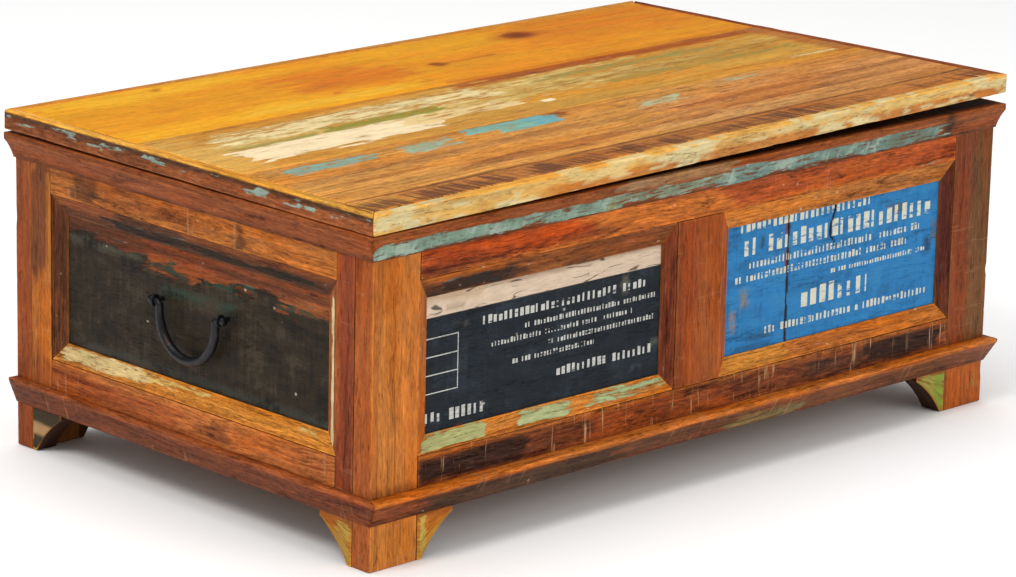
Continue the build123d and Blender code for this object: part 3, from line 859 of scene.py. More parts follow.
navy_paint = wood("navy_paint", contrast=0.5, dark=0.3, dirt=0.3, bite=0.6, paint_gloss=0.42,
                  specks=0.4, pick=0.965, wear=0.2, cuts=0.85,
                  marks=[
                      (150, 372, 214, 8.5, 7.0, 0.90),
                      (206, 384, 201, 5.2, 4.2, 0.88),
                      (162, 352, 190, 5.2, 4.2, 0.86),
                      (238, 388, 179, 5.2, 4.2, 0.88),
                      (186, 300, 168, 5.2, 4.2, 0.84),
                      (250, 380, 145, 9.0, 7.0, 0.86),
                      (76, 152, 128, 12.0, 8.0, 0.92),
                  ], mark_colour=(0.58, 0.58, 0.54), grid=(60, 118, 158, 212, 3),
                  mottle=((0.010, 0.013, 0.018), (0.022, 0.030, 0.040)))
blue_paint = wood("blue_paint", contrast=0.6, vivid=1.0, dark=0.3, dirt=0.5, bite=0.7,
                  paint_gloss=0.42, specks=0.5, pick=0.93, wear=0.2,
                  speck_colour=(0.16, 0.09, 0.05), marks=[
                      (506, 700, 245, 10.0, 8.0, 0.9),
                      (512, 800, 220, 18.0, 12.0, 0.93),
                      (520, 780, 206, 7.5, 5.5, 0.9),
                      (500, 760, 193, 7.5, 5.5, 0.9),
                      (640, 790, 181, 5.0, 4.0, 0.86),
                      (600, 700, 152, 20.0, 14.0, 0.94),
                      (546, 800, 134, 8.0, 6.0, 0.9),
                  ], mark_colour=(0.68, 0.66, 0.50),
                  mottle=((0.018, 0.135, 0.32), (0.030, 0.20, 0.42)))
black_paint = wood("black_paint", contrast=0.9, dark=0.4, dirt=0.4, fade=0.1, bite=1.2,
                   paint_gloss=0.5, specks=0.35, pick=0.95, wear=0.3,
                   mottle=((0.014, 0.011, 0.008), (0.052, 0.038, 0.024)))
black_iron = metal("forged_iron", (0.028, 0.028, 0.031), 0.42, 1.0, 0.35)
dull_steel = metal("dull_steel", (0.36, 0.34, 0.30), 0.45, 0.2, 0.5)

# ---------------------------------------------------------------- lid


def lid_board(label, step):
    """A board of the lid, from its left to its right end and from back to front."""
    node = f"lid_{label}_plank"
    low, high = (list(corner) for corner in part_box(node))
    low[0], high[0] = lid_low[0] + LIPPING, lid_high[0] - LIPPING
    low[2], high[2] = 0, lid_thickness
    corners = box_corners(low, high, "+x", "-y", "+z")
    piece = slab(f"lid_{label}_board", [node], "lid", corners, step, warp=on_lid)
    piece.unroll("lid")
    return piece


def plain_below(plank):
    """The underside of a plank is duller than its waxed top."""
    below = smooth(-plank.normal[:, 2], 0.2, 0.6)
    plank.tint = blend_to(plank.tint, rgb("a87846"), 0.8 * below)
    plank.cover = plank.cover * (1 - below)


back_plank = lid_board("back", 0.004)
back_plank.tint[:] = rgb("e69a2c")
back_plank.stain([
    # the broad pale yellow patch at the left back corner is a painted highlight, the glare of the
    # lamps on the waxed top
    patch(0, 290, 0, 60, "eab548", 0.8, 120, 20, 30),
    patch(0, 420, 150, 200, "edb84a", 0.9, 60, 12, 20),
    patch(290, 440, 60, 150, "d97a26", 0.8, 50, 16, 22),
    patch(640, 900, 0, 140, "da7f22", 0.6, 60, 25, 30),
    patch(420, 640, 10, 80, "e7a636", 0.7, 60, 12, 20),
    patch(622, 694, 40, 80, "b9651f", 0.6, 8, 5, 9, True),
    patch(638, 678, 44, 76, "944418", 0.9, 4, 3, 5, True),
    patch(648, 668, 50, 68, "6f3216", 0.5, 3, 3, 4, True),
    patch(476, 496, 108, 127, "9a4f20", 0.95, 3, 3, 4, True),
    patch(493, 565, 115, 120, "b0642a", 0.8, 20, 2, 3),
    patch(306, 318, 150, 157, "b96a28", 0.7, 6, 3, 3),
    patch(165, 180, 24, 34, "a05a24", 0.7, 5, 3, 3),
    patch(440, 900, 190, 198, "b0682a", 0.5, 80, 3, 3),
])
plain_below(back_plank)
back_plank.build(plank_wood, "lid_honey_wood")

middle_plank = lid_board("middle", 0.003)
middle_plank.tint[:] = rgb("cf9a48")
middle_plank.stain([
    patch(440, 900, 197, 220, "a95a28", 0.95, 80, 9, 5),
    patch(0, 440, 197, 207, "bd8338", 0.8, 60, 3, 3),
    patch(0, 60, 206, 356, "d9ab5c", 0.9, 10, 8, 12),
    patch(60, 440, 334, 356, "cc9243", 0.8, 60, 5, 6),
    patch(440, 880, 225, 330, "d59f48", 0.7, 40, 10, 14),
    patch(500, 860, 262, 285, "b0803a", 0.6, 60, 6, 6),
    patch(862, 900, 197, 356, "b0703c", 0.8, 6, 10, 8),
])
middle_plank.coat([
    patch(58, 660, 216, 304, "d0b068", 0.51, 40, 12, 16),
    patch(84, 430, 224, 264, "e4cf98", 0.56, 50, 8, 10),
    patch(450, 660, 226, 250, "d3b874", 0.56, 40, 6, 6),
    patch(640, 855, 226, 310, "c8a25a", 0.42, 40, 8, 10),
    patch(190, 345, 262, 290, "8f8838", 0.62, 26, 5, 5),
    patch(70, 172, 276, 290, "99924c", 0.58, 24, 4, 4),
    patch(520, 760, 234, 250, "a3914c", 0.52, 50, 5, 5),
    patch(560, 860, 288, 304, "a08a44", 0.52, 50, 4, 5),
    patch(52, 300, 284, 334, "eed7ae", 0.74, 22, 8, 6),
    patch(270, 420, 286, 316, "dfc28a", 0.60, 30, 7, 6),
    patch(444, 462, 313, 321, "efe0b4", 0.95, 2, 2, 1.5),
    patch(800, 862, 334, 344, "e0c08c", 0.62, 16, 4, 5),
])
plain_below(middle_plank)
middle_plank.build(painted_plank, "lid_painted_wood")

front_plank = lid_board("front", 0.0026)
front_plank.tint[:] = rgb("cd9048")
front_plank.stain([
    patch(0, 430, 400, 500, "cf9450", 0.7, 60, 14, 16),
    patch(60, 420, 410, 424, "a9683a", 0.5, 70, 4, 5),
    patch(430, 900, 356, 400, "c68d4a", 0.6, 40, 10, 12),
    patch(500, 900, 395, 500, "cf8f55", 0.85, 80, 14, 14),
    patch(540, 900, 422, 434, "95542f", 0.6, 90, 4, 6),
    patch(600, 900, 454, 464, "95542f", 0.5, 90, 4, 6),
    patch(640, 900, 365, 400, "d0965a", 0.7, 60, 10, 10),
    patch(200, 560, 462, 478, "9c5a34", 0.6, 70, 5, 5),
    patch(440, 660, 474, 496, "cf9c62", 0.7, 50, 8, 8),
    patch(60, 900, 500, 505, "6b3a20", 0.8, 60, 2, 1.5),
    patch(60, 900, 505, 538, "b06a38", 0.7, 60, 5, 5),
    patch(395, 425, 362, 378, "8a4828", 0.8, 8, 4, 4),
])
front_plank.coat([
    patch(40, 160, 366, 396, "7fa598", 0.55, 24, 7, 7),
    patch(190, 266, 368, 402, "93ac92", 0.52, 24, 8, 7),
    patch(285, 406, 358, 380, "80aa9c", 0.70, 22, 5, 5),
    patch(320, 404, 372, 396, "7dac9c", 0.64, 20, 7, 5),
    patch(372, 404, 366, 390, "6fa8ac", 0.70, 10, 6, 5),
    patch(500, 570, 381, 404, "b0b890", 0.55, 20, 6, 6),
    patch(640, 700, 366, 380, "b6b08a", 0.46, 20, 5, 6),
])
# a band of saw marks across the grain along the front edge, dense in places
p_mark, q_mark = front_plank.sheet.T
band = smooth(q_mark, 494, 522) * smooth(q_mark, 546, 536)
patchy = noise(np.column_stack([p_mark / 60, 0 * p_mark, 0 * p_mark]), 1, 5, 2)
dense = 0.34 + 0.6 * smooth(patchy, 0.36, 0.62)
dense = dense + 0.25 * smooth(p_mark, 190, 240) * smooth(p_mark, 450, 400)
front_plank.groove = band * dense * front_plank.face
plain_below(front_plank)
front_plank.build(brown_plank, "lid_brown_wood")


def lipping_corners(side):
    """The eight corners of an edging strip, mitred at both ends: outer edge first."""
    (x0, y0), (x1, y1) = lid_low, lid_high
    inner = {"x0": x0 + LIPPING, "x1": x1 - LIPPING, "y0": y0 + LIPPING, "y1": y1 - LIPPING}
    outline = {
        "front": ((x0, y0), (x1, y0), (inner["x0"], inner["y0"]), (inner["x1"], inner["y0"])),
        "back": ((x1, y1), (x0, y1), (inner["x1"], inner["y1"]), (inner["x0"], inner["y1"])),
        "left": ((x0, y1), (x0, y0), (inner["x0"], inner["y1"]), (inner["x0"], inner["y0"])),
        "right": ((x1, y0), (x1, y1), (inner["x1"], inner["y0"]), (inner["x1"], inner["y1"])),
    }[side]
    corners = np.zeros((2, 2, 2, 3))
    for index, point in enumerate(outline):
        for top in (0, 1):
            corners[index % 2, index // 2, top] = (*point, top * lid_thickness)
    return corners


LIPPING_NODES = {"front": "lid_front_lipping", "back": "lid_back_lipping",
                 "left": "lid_end_lippings", "right": "lid_end_lippings"}
LIPPING_TINT = {"front": "dcae64", "back": "c98b46", "left": "8f5230", "right": "8a4a2a"}
for side, node in LIPPING_NODES.items():
    strip = slab(f"lid_{side}_edging", [node], "lid", lipping_corners(side), step=0.003,
                 rounding=0.0021, chip=0.0018, warp=on_lid)
    strip.unroll("lid")
    strip.face[:] = 1
    strip.tint[:] = rgb(LIPPING_TINT[side])
    x, y, z = strip.points.T / MM
    height = z - lid_underside(strip.points[:, 0], strip.points[:, 1]) / MM
    up = smooth(height, 17.0, 19.0)
    if side == "front":
        strip.tint = blend_to(strip.tint, rgb("d9b877"), smooth(height, 9, 13))
        low_half = smooth(height, 11, 8) * smooth(x, -260, -200)
        strip.tint = blend_to(strip.tint, rgb("bb7842"), 0.9 * low_half)
        strip.tint = blend_to(strip.tint, rgb("dfa956"), 0.9 * up)
        blotch = noise(np.column_stack([x / 30, height / 8, 0 * y]), 1, 12, 3)
        strip.tint = blend_to(strip.tint, rgb("d6c898"), 0.9 * smooth(blotch, 0.5, 0.62))
        strip.tint = blend_to(strip.tint, rgb("c48a4c"), 0.5 * smooth(blotch, 0.42, 0.30))
    if side == "left":
        flakes = np.column_stack([y / 17, height / 3.6, 0 * y])
        teal = smooth(noise(flakes, 1, 3, 3), 0.45, 0.62)
        strip.tint = blend_to(strip.tint, rgb("35291f"), 0.75 * smooth(height, 9, 15))
        strip.paint[:] = rgb("8a9c90")
        strip.cover = 0.53 * teal * smooth(height, 4, 9) * smooth(height, 20, 16)
        strip.tint = blend_to(strip.tint, rgb("dca24c"), 0.9 * up)
    strip.along_sheet = side in LONG_WALLS
    strip.build(pale_edging if side in LONG_WALLS else trim_wood, "lipping_wood")

BATTEN = {"half_width": 0.0225, "depth": 0.018}
low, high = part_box("lid_battens")
battens = []
for name, middle in (("left", -0.3), ("middle", 0.0), ("right", 0.3)):
    corner_low = (middle - BATTEN["half_width"], low[1], -BATTEN["depth"])
    corner_high = (middle + BATTEN["half_width"], high[1], 0)
    corners = box_corners(corner_low, corner_high, "+y", "+x", "-z")
    batten = slab(f"lid_{name}_batten", ["lid_battens"], "lid", corners, step=0.008,
                  rounding=0.0015, warp=on_lid)
    batten.tint[:] = rgb("a8733f")
    battens.append(batten)
joined("lid_battens_worn", battens).build(inner_wood, "inner_wood")

# ---------------------------------------------------------------- walls


def span(node, axis):
    """Where a part of the CAD model begins and ends along an axis."""
    low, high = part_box(node)
    return low[axis], high[axis]


def wall_board(name, node, wall, run, rise, upright, depth=None, step=0.0035, **settings):
    """A board of a wall: its run along the wall, its rise, and its depth range inwards."""
    axis, outward = WALLS[wall]
    inner, outer = depth or (board, 0.0)
    direction = SIGN[outward[0]]
    face = face_at[wall]
    reach = sorted((face - direction * inner, face - direction * outer))
    low = np.zeros(3)
    high = np.zeros(3)
    low[AXES[axis[1]]], high[AXES[axis[1]]] = run
    low[AXES[outward[1]]], high[AXES[outward[1]]] = reach
    low[2], high[2] = rise
    along, across = ("+z", axis) if upright else (axis, "+z")
    corners = box_corners(low, high, along, across, outward)
    piece = slab(name, [node], "chest_body", corners, step=step, **settings)
    piece.tint[:] = INSIDE
    piece.tint = blend_to(piece.tint, JOINT_AND_SHADE, smooth(np.abs(piece.normal[:, 2]), 0.9, 0.5))
    piece.face = smooth(piece.normal[:, 2], 0.5, 0.95)
    return piece.unroll(wall)


def bevel(name, node, wall, outer, inner, depths):
    """One bevelled strip between two edges, each given as two (along, up) points."""
    setback, lip, back = depths
    corners = np.zeros((2, 2, 2, 3))
    for across, edge, surface in ((0, outer, setback), (1, inner, lip)):
        along, up = np.array(edge).T
        for top, inward in ((0, back), (1, surface)):
            corners[:, across, top] = place_on(wall, along, -inward, up)
    piece = slab(name, [node], "chest_body", corners, step=0.0028, rounding=0.0005, chip=0.0006,
                 wave=0.00012)
    piece.tint[:] = INSIDE
    return piece.unroll(wall)


def bevels(wall, node, label, run, widths):
    """The four mitred strips round one opening."""
    left, right, low, high = *run, opening_low, opening_high
    outer = [(left, low), (right, low), (right, high), (left, high)]
    left, right = left + widths["side"], right - widths["side"]
    low, high = low + widths["bottom"], high - widths["top"]
    inner = [(left, low), (right, low), (right, high), (left, high)]
    ends = {"bottom": (0, 1), "top": (3, 2), "left": (0, 3), "right": (1, 2)}
    if WALLS[wall][0][0] == "-":
        ends["left"], ends["right"] = ends["right"], ends["left"]
    axis = AXES[WALLS[wall][1][1]]
    setback, back = sorted(abs(face_at[wall] - corner[axis]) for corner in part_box(node))
    depths = (setback, back - BEVEL_LIP, back)
    made = {}
    for side, (start, stop) in ends.items():
        edges = [(points[start], points[stop]) for points in (outer, inner)]
        made[side] = bevel(f"{label}_{side}_bevel", node, wall, *edges, depths)
    return made


def dress(piece, colour, stains=(), coats=(), smears=()):
    """Give a board its outer colour and its patches."""
    tint = rgb(colour) if isinstance(colour, str) else colour
    piece.tint = blend_to(piece.tint, tint, piece.face)
    piece.stain(stains)
    piece.coat(coats)
    piece.smear(smears)
    return piece


# what each board of a wall looks like: colour, stains and coats
LOOKS = {
    "front_left_leg": ("c47c42", [
        patch(0, 61, 250, 302, "b5672f", 0.5, 14, 6, 8),
        patch(0, 8, 40, 328, "a85c30", 0.5, 20, 3, 3),
        patch(44, 61, 60, 290, "b3652f", 0.5, 40, 5, 6),
        patch(0, 61, 0, 46, "c07d40", 0.6, 10, 5, 6),
        patch(0, 61, 71, 78, "7a4426", 0.6, 10, 3, 3),
    ], []),
    "front_right_leg": ("7f4729", [
        patch(824, 850, 90, 300, "82422a", 0.7, 50, 6, 6),
        patch(852, 884, 60, 290, "66502f", 0.55, 50, 7, 8),
        patch(824, 884, 0, 60, "b4602f", 0.9, 12, 5, 8),
    ], [patch(862, 876, 10, 36, "8f8a3c", 0.44, 18, 4, 5)]),
    "front_top_rail": ("aa542f", [
        patch(280, 470, 276, 302, "c27338", 0.8, 60, 6, 8),
        patch(60, 280, 284, 302, "b24c25", 0.7, 60, 5, 6),
        patch(60, 150, 275, 284, "5b2c1b", 0.7, 40, 3, 4),
        patch(240, 330, 278, 288, "6b331d", 0.6, 40, 3, 4),
        patch(60, 824, 274, 279, "bb6a34", 0.85, 60, 2.5, 2),
        patch(600, 700, 282, 300, "ad5d31", 0.6, 50, 5, 6),
    ], [patch(742, 800, 274, 279, "8e9a92", 0.6, 20, 2, 2)]),
    "front_bottom_rail": ("8a4a2b", [
        patch(60, 205, 74, 101, "2c1b15", 0.95, 20, 5, 4),
        patch(205, 300, 74, 96, "5c3220", 0.85, 30, 5, 6),
        patch(300, 480, 74, 103, "8d4a29", 0.8, 40, 6, 8),
        patch(480, 620, 74, 97, "6b3a24", 0.8, 30, 5, 5),
        patch(600, 700, 74, 92, "40281f", 0.8, 26, 5, 4),
        patch(690, 818, 74, 97, "281913", 0.95, 26, 5, 4),
        patch(60, 824, 98, 103, "a35f30", 0.75, 50, 2, 2),
    ], []),
    "front_middle_stile": ("98502b", [
        patch(408, 440, 180, 276, "8c4527", 0.7, 40, 8, 8),
        patch(440, 473, 103, 220, "a3592e", 0.7, 40, 8, 8),
        patch(406, 416, 103, 276, "70361f", 0.5, 40, 3, 4),
    ], []),
    "left_end_back_stile": ("a5602f", [
        patch(22, 60, 185, 302, "6b3c24", 0.85, 22, 4, 6),
        patch(22, 50, 110, 185, "b4692f", 0.8, 20, 4, 6),
        patch(50, 56, 100, 300, "c98545", 0.6, 40, 2, 2),
        patch(22, 60, 46, 100, "94522b", 0.7, 10, 4, 5),
    ], []),
    "left_end_front_stile": ("8a4527", [
        patch(484, 514, 74, 330, "84402a", 0.7, 40, 4, 6),
        patch(484, 492, 110, 300, "a85a30", 0.6, 40, 3, 3),
    ], []),
    "left_end_top_rail": ("a96534", [
        patch(60, 500, 274, 280, "b97138", 0.7, 60, 2, 2),
        patch(92, 128, 276, 302, "5b351f", 0.8, 14, 4, 4),
        patch(130, 360, 280, 297, "8c4f2a", 0.6, 70, 3, 4),
        patch(300, 480, 274, 302, "b06d38", 0.5, 60, 6, 8),
        patch(340, 352, 276, 300, "5b351f", 0.7, 8, 4, 3),
    ], []),
    "left_end_bottom_rail": ("a65e34", [
        patch(57, 260, 72, 95, "9a522e", 0.75, 40, 5, 6),
        patch(260, 490, 72, 103, "ab663a", 0.7, 50, 6, 6),
        patch(57, 490, 96, 103, "b5703c", 0.6, 60, 3, 3),
        patch(300, 330, 76, 92, "6d3a22", 0.7, 10, 4, 4),
    ], []),
    "back_leg": ("9c5a30", [], []),
}
PLAIN = {
    "left_leg": ("a9602f", [], []),
    "right_leg": ("965030", [], []),
    "middle_stile": ("8c4a29", [], []),
    "top_rail": ("914a28", [patch(500, 760, 276, 302, "7f5a34", 0.6, 60, 6, 8)], []),
    "bottom_rail": ("7d4526", [patch(100, 380, 74, 103, "a7622f", 0.6, 50, 6, 8)], []),
    "front_stile": ("9a5230", [patch(0, 60, 180, 300, "7b4225", 0.6, 30, 6, 8)], []),
    "back_stile": ("8a4727", [patch(470, 536, 60, 180, "a8632f", 0.6, 30, 6, 8)], []),
}


def looks_of(node):
    """The look of a named board, or the plain look of its kind."""
    if node in LOOKS:
        return LOOKS[node]
    kind = next(kind for kind in PLAIN if node.endswith(kind))
    return PLAIN[kind]


def dress_board(piece, node, material, slot):
    """Give a board the look listed for its part and build it."""
    dress(piece, *looks_of(node)).build(material, slot)


FLANK = {("front", "left_leg"): "a35a31", ("front", "right_leg"): "8f4f2c",
         ("back", "left_leg"): "8a4a2a", ("back", "right_leg"): "8f5530"}
openings = {}
for wall in WALLS:
    along = AXES[WALLS[wall][0][1]]
    long = wall in LONG_WALLS
    uprights = ("left_leg", "right_leg") if long else ("front_stile", "back_stile")
    rise = (0.0, rim) if long else (base, rim)
    runs = [span(f"{wall}_{label}", along) for label in uprights]
    for label, run in zip(uprights, runs):
        node = f"{wall}_{label}"
        worn = {"rounding": 0.0018, "chip": 0.0022} if long else {}
        stile = wall_board(f"{node}_board", node, wall, run, rise, True, **worn)
        if long:
            outwards = -1 if (label == "left_leg") == (wall == "front") else 1
            flank = smooth(outwards * stile.normal[:, 1], 0.5, 0.95)
            stile.tint = blend_to(stile.tint, rgb(FLANK[wall, label]), flank)
        dress_board(stile, node, frame_wood, "stile_wood")
    between = (runs[0][1], runs[1][0])
    for label, rise in (("top_rail", (opening_high, rim)), ("bottom_rail", (base, opening_low))):
        node = f"{wall}_{label}"
        rail = wall_board(f"{node}_board", node, wall, between, rise, False)
        scored = long and label == "bottom_rail"
        dress_board(rail, node, scored_wood if scored else rail_wood, "rail_wood")
    openings[wall] = (between,)
    if long:
        node = f"{wall}_middle_stile"
        run = span(node, along)
        stile = wall_board(f"{node}_board", node, wall, run, (opening_low, opening_high), True)
        dress_board(stile, node, frame_wood, "stile_wood")
        openings[wall] = ((between[0], run[0]), (run[1], between[1]))

# panels
panel_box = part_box("front_left_panel")
panel_depth = (panel_box[1][1] - face_at["front"], panel_box[0][1] - face_at["front"])
panel_rise = (opening_low - PANEL_LAP, opening_high + PANEL_LAP)


def panel(name, node, wall, run, **settings):
    """A panel board, which is set back from the face of its wall."""
    return wall_board(name, node, wall, run, panel_rise, False, depth=panel_depth, step=0.003,
                      **settings)


left_hole, right_hole = openings["front"]
band_lines = BAND_FROM - panel_rise[0] + np.array([-0.0008, -0.0003, 0.0, 0.0003, 0.0008])
navy = panel("front_left_panel_board", "front_left_panel", "front",
             (left_hole[0] - PANEL_LAP, left_hole[1] + PANEL_LAP), extra=((), band_lines, ()))
dress(navy, "6a4630", [], [
    patch(0, 500, 90, 300, NAVY, 1.0, 2, 2, 2),
], [
    patch(0, 500, BAND_FROM / MM, 300, PINKCREAM, 1.0, 0, 0.3, 0.4),
    patch(60, 150, 246, 256, "a8855f", 0.5, 14, 4, 3),
    patch(150, 410, 250, 256, "8a684c", 0.6, 30, 3, 2),
    patch(104, 124, 236, 241, "8a7358", 0.6, 8, 3, 2.5),
    patch(114, 132, 216, 222, "5f5f52", 0.7, 6, 2, 2),
    patch(116, 124, 116, 120, "7a4136", 0.8, 3, 2, 1.5),
    patch(352, 366, 131, 136, "4a5560", 0.5, 6, 2, 2),
    patch(337, 347, 212, 230, "6a6858", 0.65, 3, 5, 3),
    patch(380, 398, 149, 157, "62665c", 0.7, 5, 2, 2),
]).build(navy_paint, "navy_painted_board")
narrow_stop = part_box("front_right_panel_narrow_board")[1][0]
wide_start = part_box("front_right_panel_wide_board")[0][0]
blue_coats = [
    patch(400, 900, 90, 300, BLUE, 1.0, 2, 2, 2),
]
blue_smears = [
    patch(572.5, 577, 196, 258, "7d2f28", 0.95, 1.5, 10, 1.2),
    patch(575.2, 579.5, 100, 262, "161416", 1.0, 0.6, 6, 0.8),
    patch(509, 518, 166, 185, "8f7a48", 0.8, 4, 5, 4),
    patch(493, 501, 143, 163, "b0823a", 0.75, 3, 5, 3.5),
    patch(520, 556, 130, 135, "2a3a44", 0.8, 8, 2, 2),
    patch(789, 799, 178, 195, "24323f", 0.8, 3, 5, 3),
    patch(800, 812, 190, 212, "6a5a48", 0.7, 4, 8, 3),
    patch(728, 754, 228, 239, "5a5446", 0.75, 9, 5, 3),
    patch(535, 541, 224, 238, "1c2833", 0.85, 3, 6, 2),
    patch(500, 560, 121, 126, "1a4468", 0.8, 14, 2, 2),
]
narrow = panel("front_right_panel_narrow", "front_right_panel_narrow_board", "front",
               (right_hole[0] - PANEL_LAP, narrow_stop), rounding=0.0011, chip=0.0016)
dress(narrow, "6a4630", [], blue_coats, blue_smears).build(blue_paint, "blue_painted_board")
CRACK = [(650, 262), (648, 246), (642, 232), (641, 222), (647, 214), (649, 206)]
crack_lines = np.arange(0.636, 0.656, 0.0006) + wall_low["x"] * MM - wide_start
wide = panel("front_right_panel_wide", "front_right_panel_wide_board", "front",
             (wide_start, right_hole[1] + PANEL_LAP), rounding=0.0011, chip=0.0016,
             extra=(crack_lines, (), ()))
p_wide, q_wide = wide.sheet.T
crack_p = np.interp(-q_wide, [-q for p, q in CRACK], [p for p, q in CRACK])
crack_p = crack_p + 3 * (noise(np.column_stack([q_wide / 4, 0 * q_wide, 0 * q_wide]), 1, 9) - 0.5)
open_width = 2.7 * smooth(q_wide, 202, 226) + 0.01
torn = smooth(np.abs(p_wide - crack_p), open_width, 0.4 * open_width) * (q_wide > 204) * wide.face
wide.groove = torn
wide.points[:, 1] += 0.0025 * torn
dress(wide, "6a4630", [], blue_coats, blue_smears).build(blue_paint, "blue_painted_board")

for wall in END_WALLS:
    run = openings[wall][0]
    coal = panel(f"{wall}_panel_board", f"{wall}_panel", wall,
                 (run[0] - PANEL_LAP, run[1] + PANEL_LAP))
    dress(coal, "87482c", [
        patch(0, 536, 246, 262, "8a4a2a", 0.7, 60, 4, 6),
        patch(0, 536, 243, 250, "3c261b", 0.75, 40, 5, 5),
        patch(0, 200, 236, 262, "54301f", 0.8, 30, 6, 6),
        patch(210, 330, 214, 238, "a25c36", 0.8, 30, 6, 6),
        patch(396, 470, 222, 240, "a8623a", 0.8, 20, 6, 6),
    ], [
        patch(0, 536, 190, 238, DEEPGREEN, 0.56, 30, 9, 9),
        patch(0, 536, 90, 222, COAL, 0.95, 16, 9, 7),
        patch(0, 120, 90, 243, COAL, 0.85, 14, 6, 7),
        patch(100, 196, 90, 239, COAL, 0.85, 14, 7, 7),
        patch(336, 352, 90, 234, COAL, 0.8, 9, 8, 6),
        patch(366, 392, 90, 240, COAL, 0.85, 9, 8, 6),
    ], [
        patch(80, 180, 231, 236, "6a6a5a", 0.45, 30, 4, 4),
        patch(220, 330, 206, 216, "34483a", 0.75, 24, 6, 6),
        patch(110, 480, 124, 131, "4a5650", 0.3, 40, 3, 3),
    ]).build(black_paint, "black_painted_board")

for node, run, colour in (("back_left_panel", openings["back"][0], "9c5c33"),
                          ("back_right_panel", openings["back"][1], "8a5a30")):
    unpainted = panel(f"{node}_board", node, "back", (run[0] - PANEL_LAP, run[1] + PANEL_LAP))
    dress(unpainted, colour).build(frame_wood, "plain_panel_wood")

# bevels
BEVELS = {
    "front_left_top": ("7b4a2a", [
        patch(70, 170, 266, 276, "a8622f", 0.8, 26, 2, 3),
        patch(60, 200, 250, 268, "472a1c", 0.85, 26, 3, 4),
        patch(200, 270, 250, 276, "8f5730", 0.8, 26, 3, 4),
        patch(330, 410, 250, 276, "8d5230", 0.6, 26, 3, 4),
    ], [patch(90, 180, 254, 268, "2f2620", 0.6, 22, 3, 3)]),
    "front_left_right": ("7a3c24", [patch(380, 410, 103, 200, "6b3321", 0.6, 20, 3, 4)], []),
    "front_left_bottom": ("cb8342", [
        patch(60, 410, 103, 108, "b0642e", 0.7, 40, 1.5, 2),
    ], [
        patch(62, 153, 103, 122, "b2b078", 0.72, 8, 3, 4),
        patch(194, 268, 104, 122, "adb482", 0.66, 14, 3, 4),
        patch(290, 410, 106, 122, "9fae80", 0.52, 16, 3, 5),
    ]),
    "front_left_left": ("ad6533", [], []),
    "front_right_top": ("b9763a", [patch(640, 820, 254, 276, "ae6a38", 0.6, 50, 3, 4)], []),
    "front_right_right": ("55291f", [patch(800, 826, 103, 140, "6f3b25", 0.6, 12, 3, 4)], []),
    "front_right_bottom": ("ba7038", [
        patch(470, 570, 104, 120, "cf8c42", 0.8, 40, 2, 3),
        patch(600, 700, 104, 120, "a65f30", 0.7, 40, 2, 3),
    ], []),
    "front_right_left": ("a65a2e", [], []),
    "left_end_top": ("5b3824", [
        patch(57, 160, 262, 276, "8a5030", 0.8, 26, 3, 4),
        patch(150, 480, 268, 276, "7a4628", 0.8, 40, 2, 3),
        patch(160, 260, 252, 276, "3f2a1e", 0.7, 26, 3, 4),
    ], [patch(120, 470, 256, 266, "2c241c", 0.56, 60, 4, 4)]),
    "left_end_left": ("6f4027", [patch(57, 76, 170, 260, "4f2d1c", 0.7, 20, 3, 4)], []),
    "left_end_bottom": ("d28a42", [
        patch(57, 490, 103, 107, "a9622f", 0.6, 40, 1.5, 2),
    ], [patch(62, 205, 107, 124, "e2c68c", 0.72, 30, 4, 5),
        patch(200, 300, 112, 124, "ddb870", 0.56, 30, 4, 5),
        patch(425, 462, 112, 122, "d3ae68", 0.56, 16, 3, 4)]),
    "left_end_right": ("9a5c34", [], [patch(474, 480, 110, 262, "dcc79a", 0.75, 20, 1.5, 1.5)]),
}
for wall, (left_label, right_label) in (("front", ("front_left", "front_right")),
                                        ("back", ("back_right", "back_left"))):
    for label, run in zip((left_label, right_label), openings[wall]):
        node = f"{label}_trim" if wall == "front" else "back_trim"
        strips = bevels(wall, node, label, run, LONG_BEVEL)
        for side, strip in strips.items():
            dress(strip, *BEVELS.get(f"{label}_{side}", ("94562e", [], [])))
        joined(f"{label}_bevels", list(strips.values())).build(trim_wood, "trim_wood")
for wall in END_WALLS:
    strips = bevels(wall, f"{wall}_trim", wall, openings[wall][0], END_BEVEL)
    for side, strip in strips.items():
        dress(strip, *BEVELS.get(f"{wall}_{side}", ("8a4e2b", [], [])))
    joined(f"{wall}_bevels", list(strips.values())).build(trim_wood, "trim_wood")

# ---------------------------------------------------------------- mouldings

body_run = {wall: (front_leg_low[axis], back_leg_high[axis])
            for walls, axis in ((LONG_WALLS, 0), (END_WALLS, 1)) for wall in walls}
crown_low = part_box("front_crown")[0]
crown_reaches = dict.fromkeys(WALLS, front_leg_low[1] - crown_low[1])
CROWN = [(0.0, 0.0), (0.0012, 0.0), (0.0014, 0.0015), (0.0026, 0.006), (0.0042, 0.011),
         (0.0061, 0.0155), (0.0080, 0.0190), (0.0080, 0.0240), (0.0078, 0.0255), (0.0072, 0.0260),
         (0.0, 0.0260)]
CROWN_TINT = {"front": "8a4d2c", "left_end": "8f4f2e", "right_end": "8a4c2a", "back": "8a4a2a"}
FRONT_CROWN_STAINS_AND_SHADE = [
    patch(320, 480, 318, 330, "a08a6c", 0.6, 40, 3, 3),
    patch(798, 812, 300, 330, "3a2a20", 0.8, 5, 3, 3),
    # a thin dark band along the crown's lower edge, where it meets the wall, is painted shade
    patch(-8, 892, 300, 304, "4a3224", 0.7, 60, 1, 1.5),
]
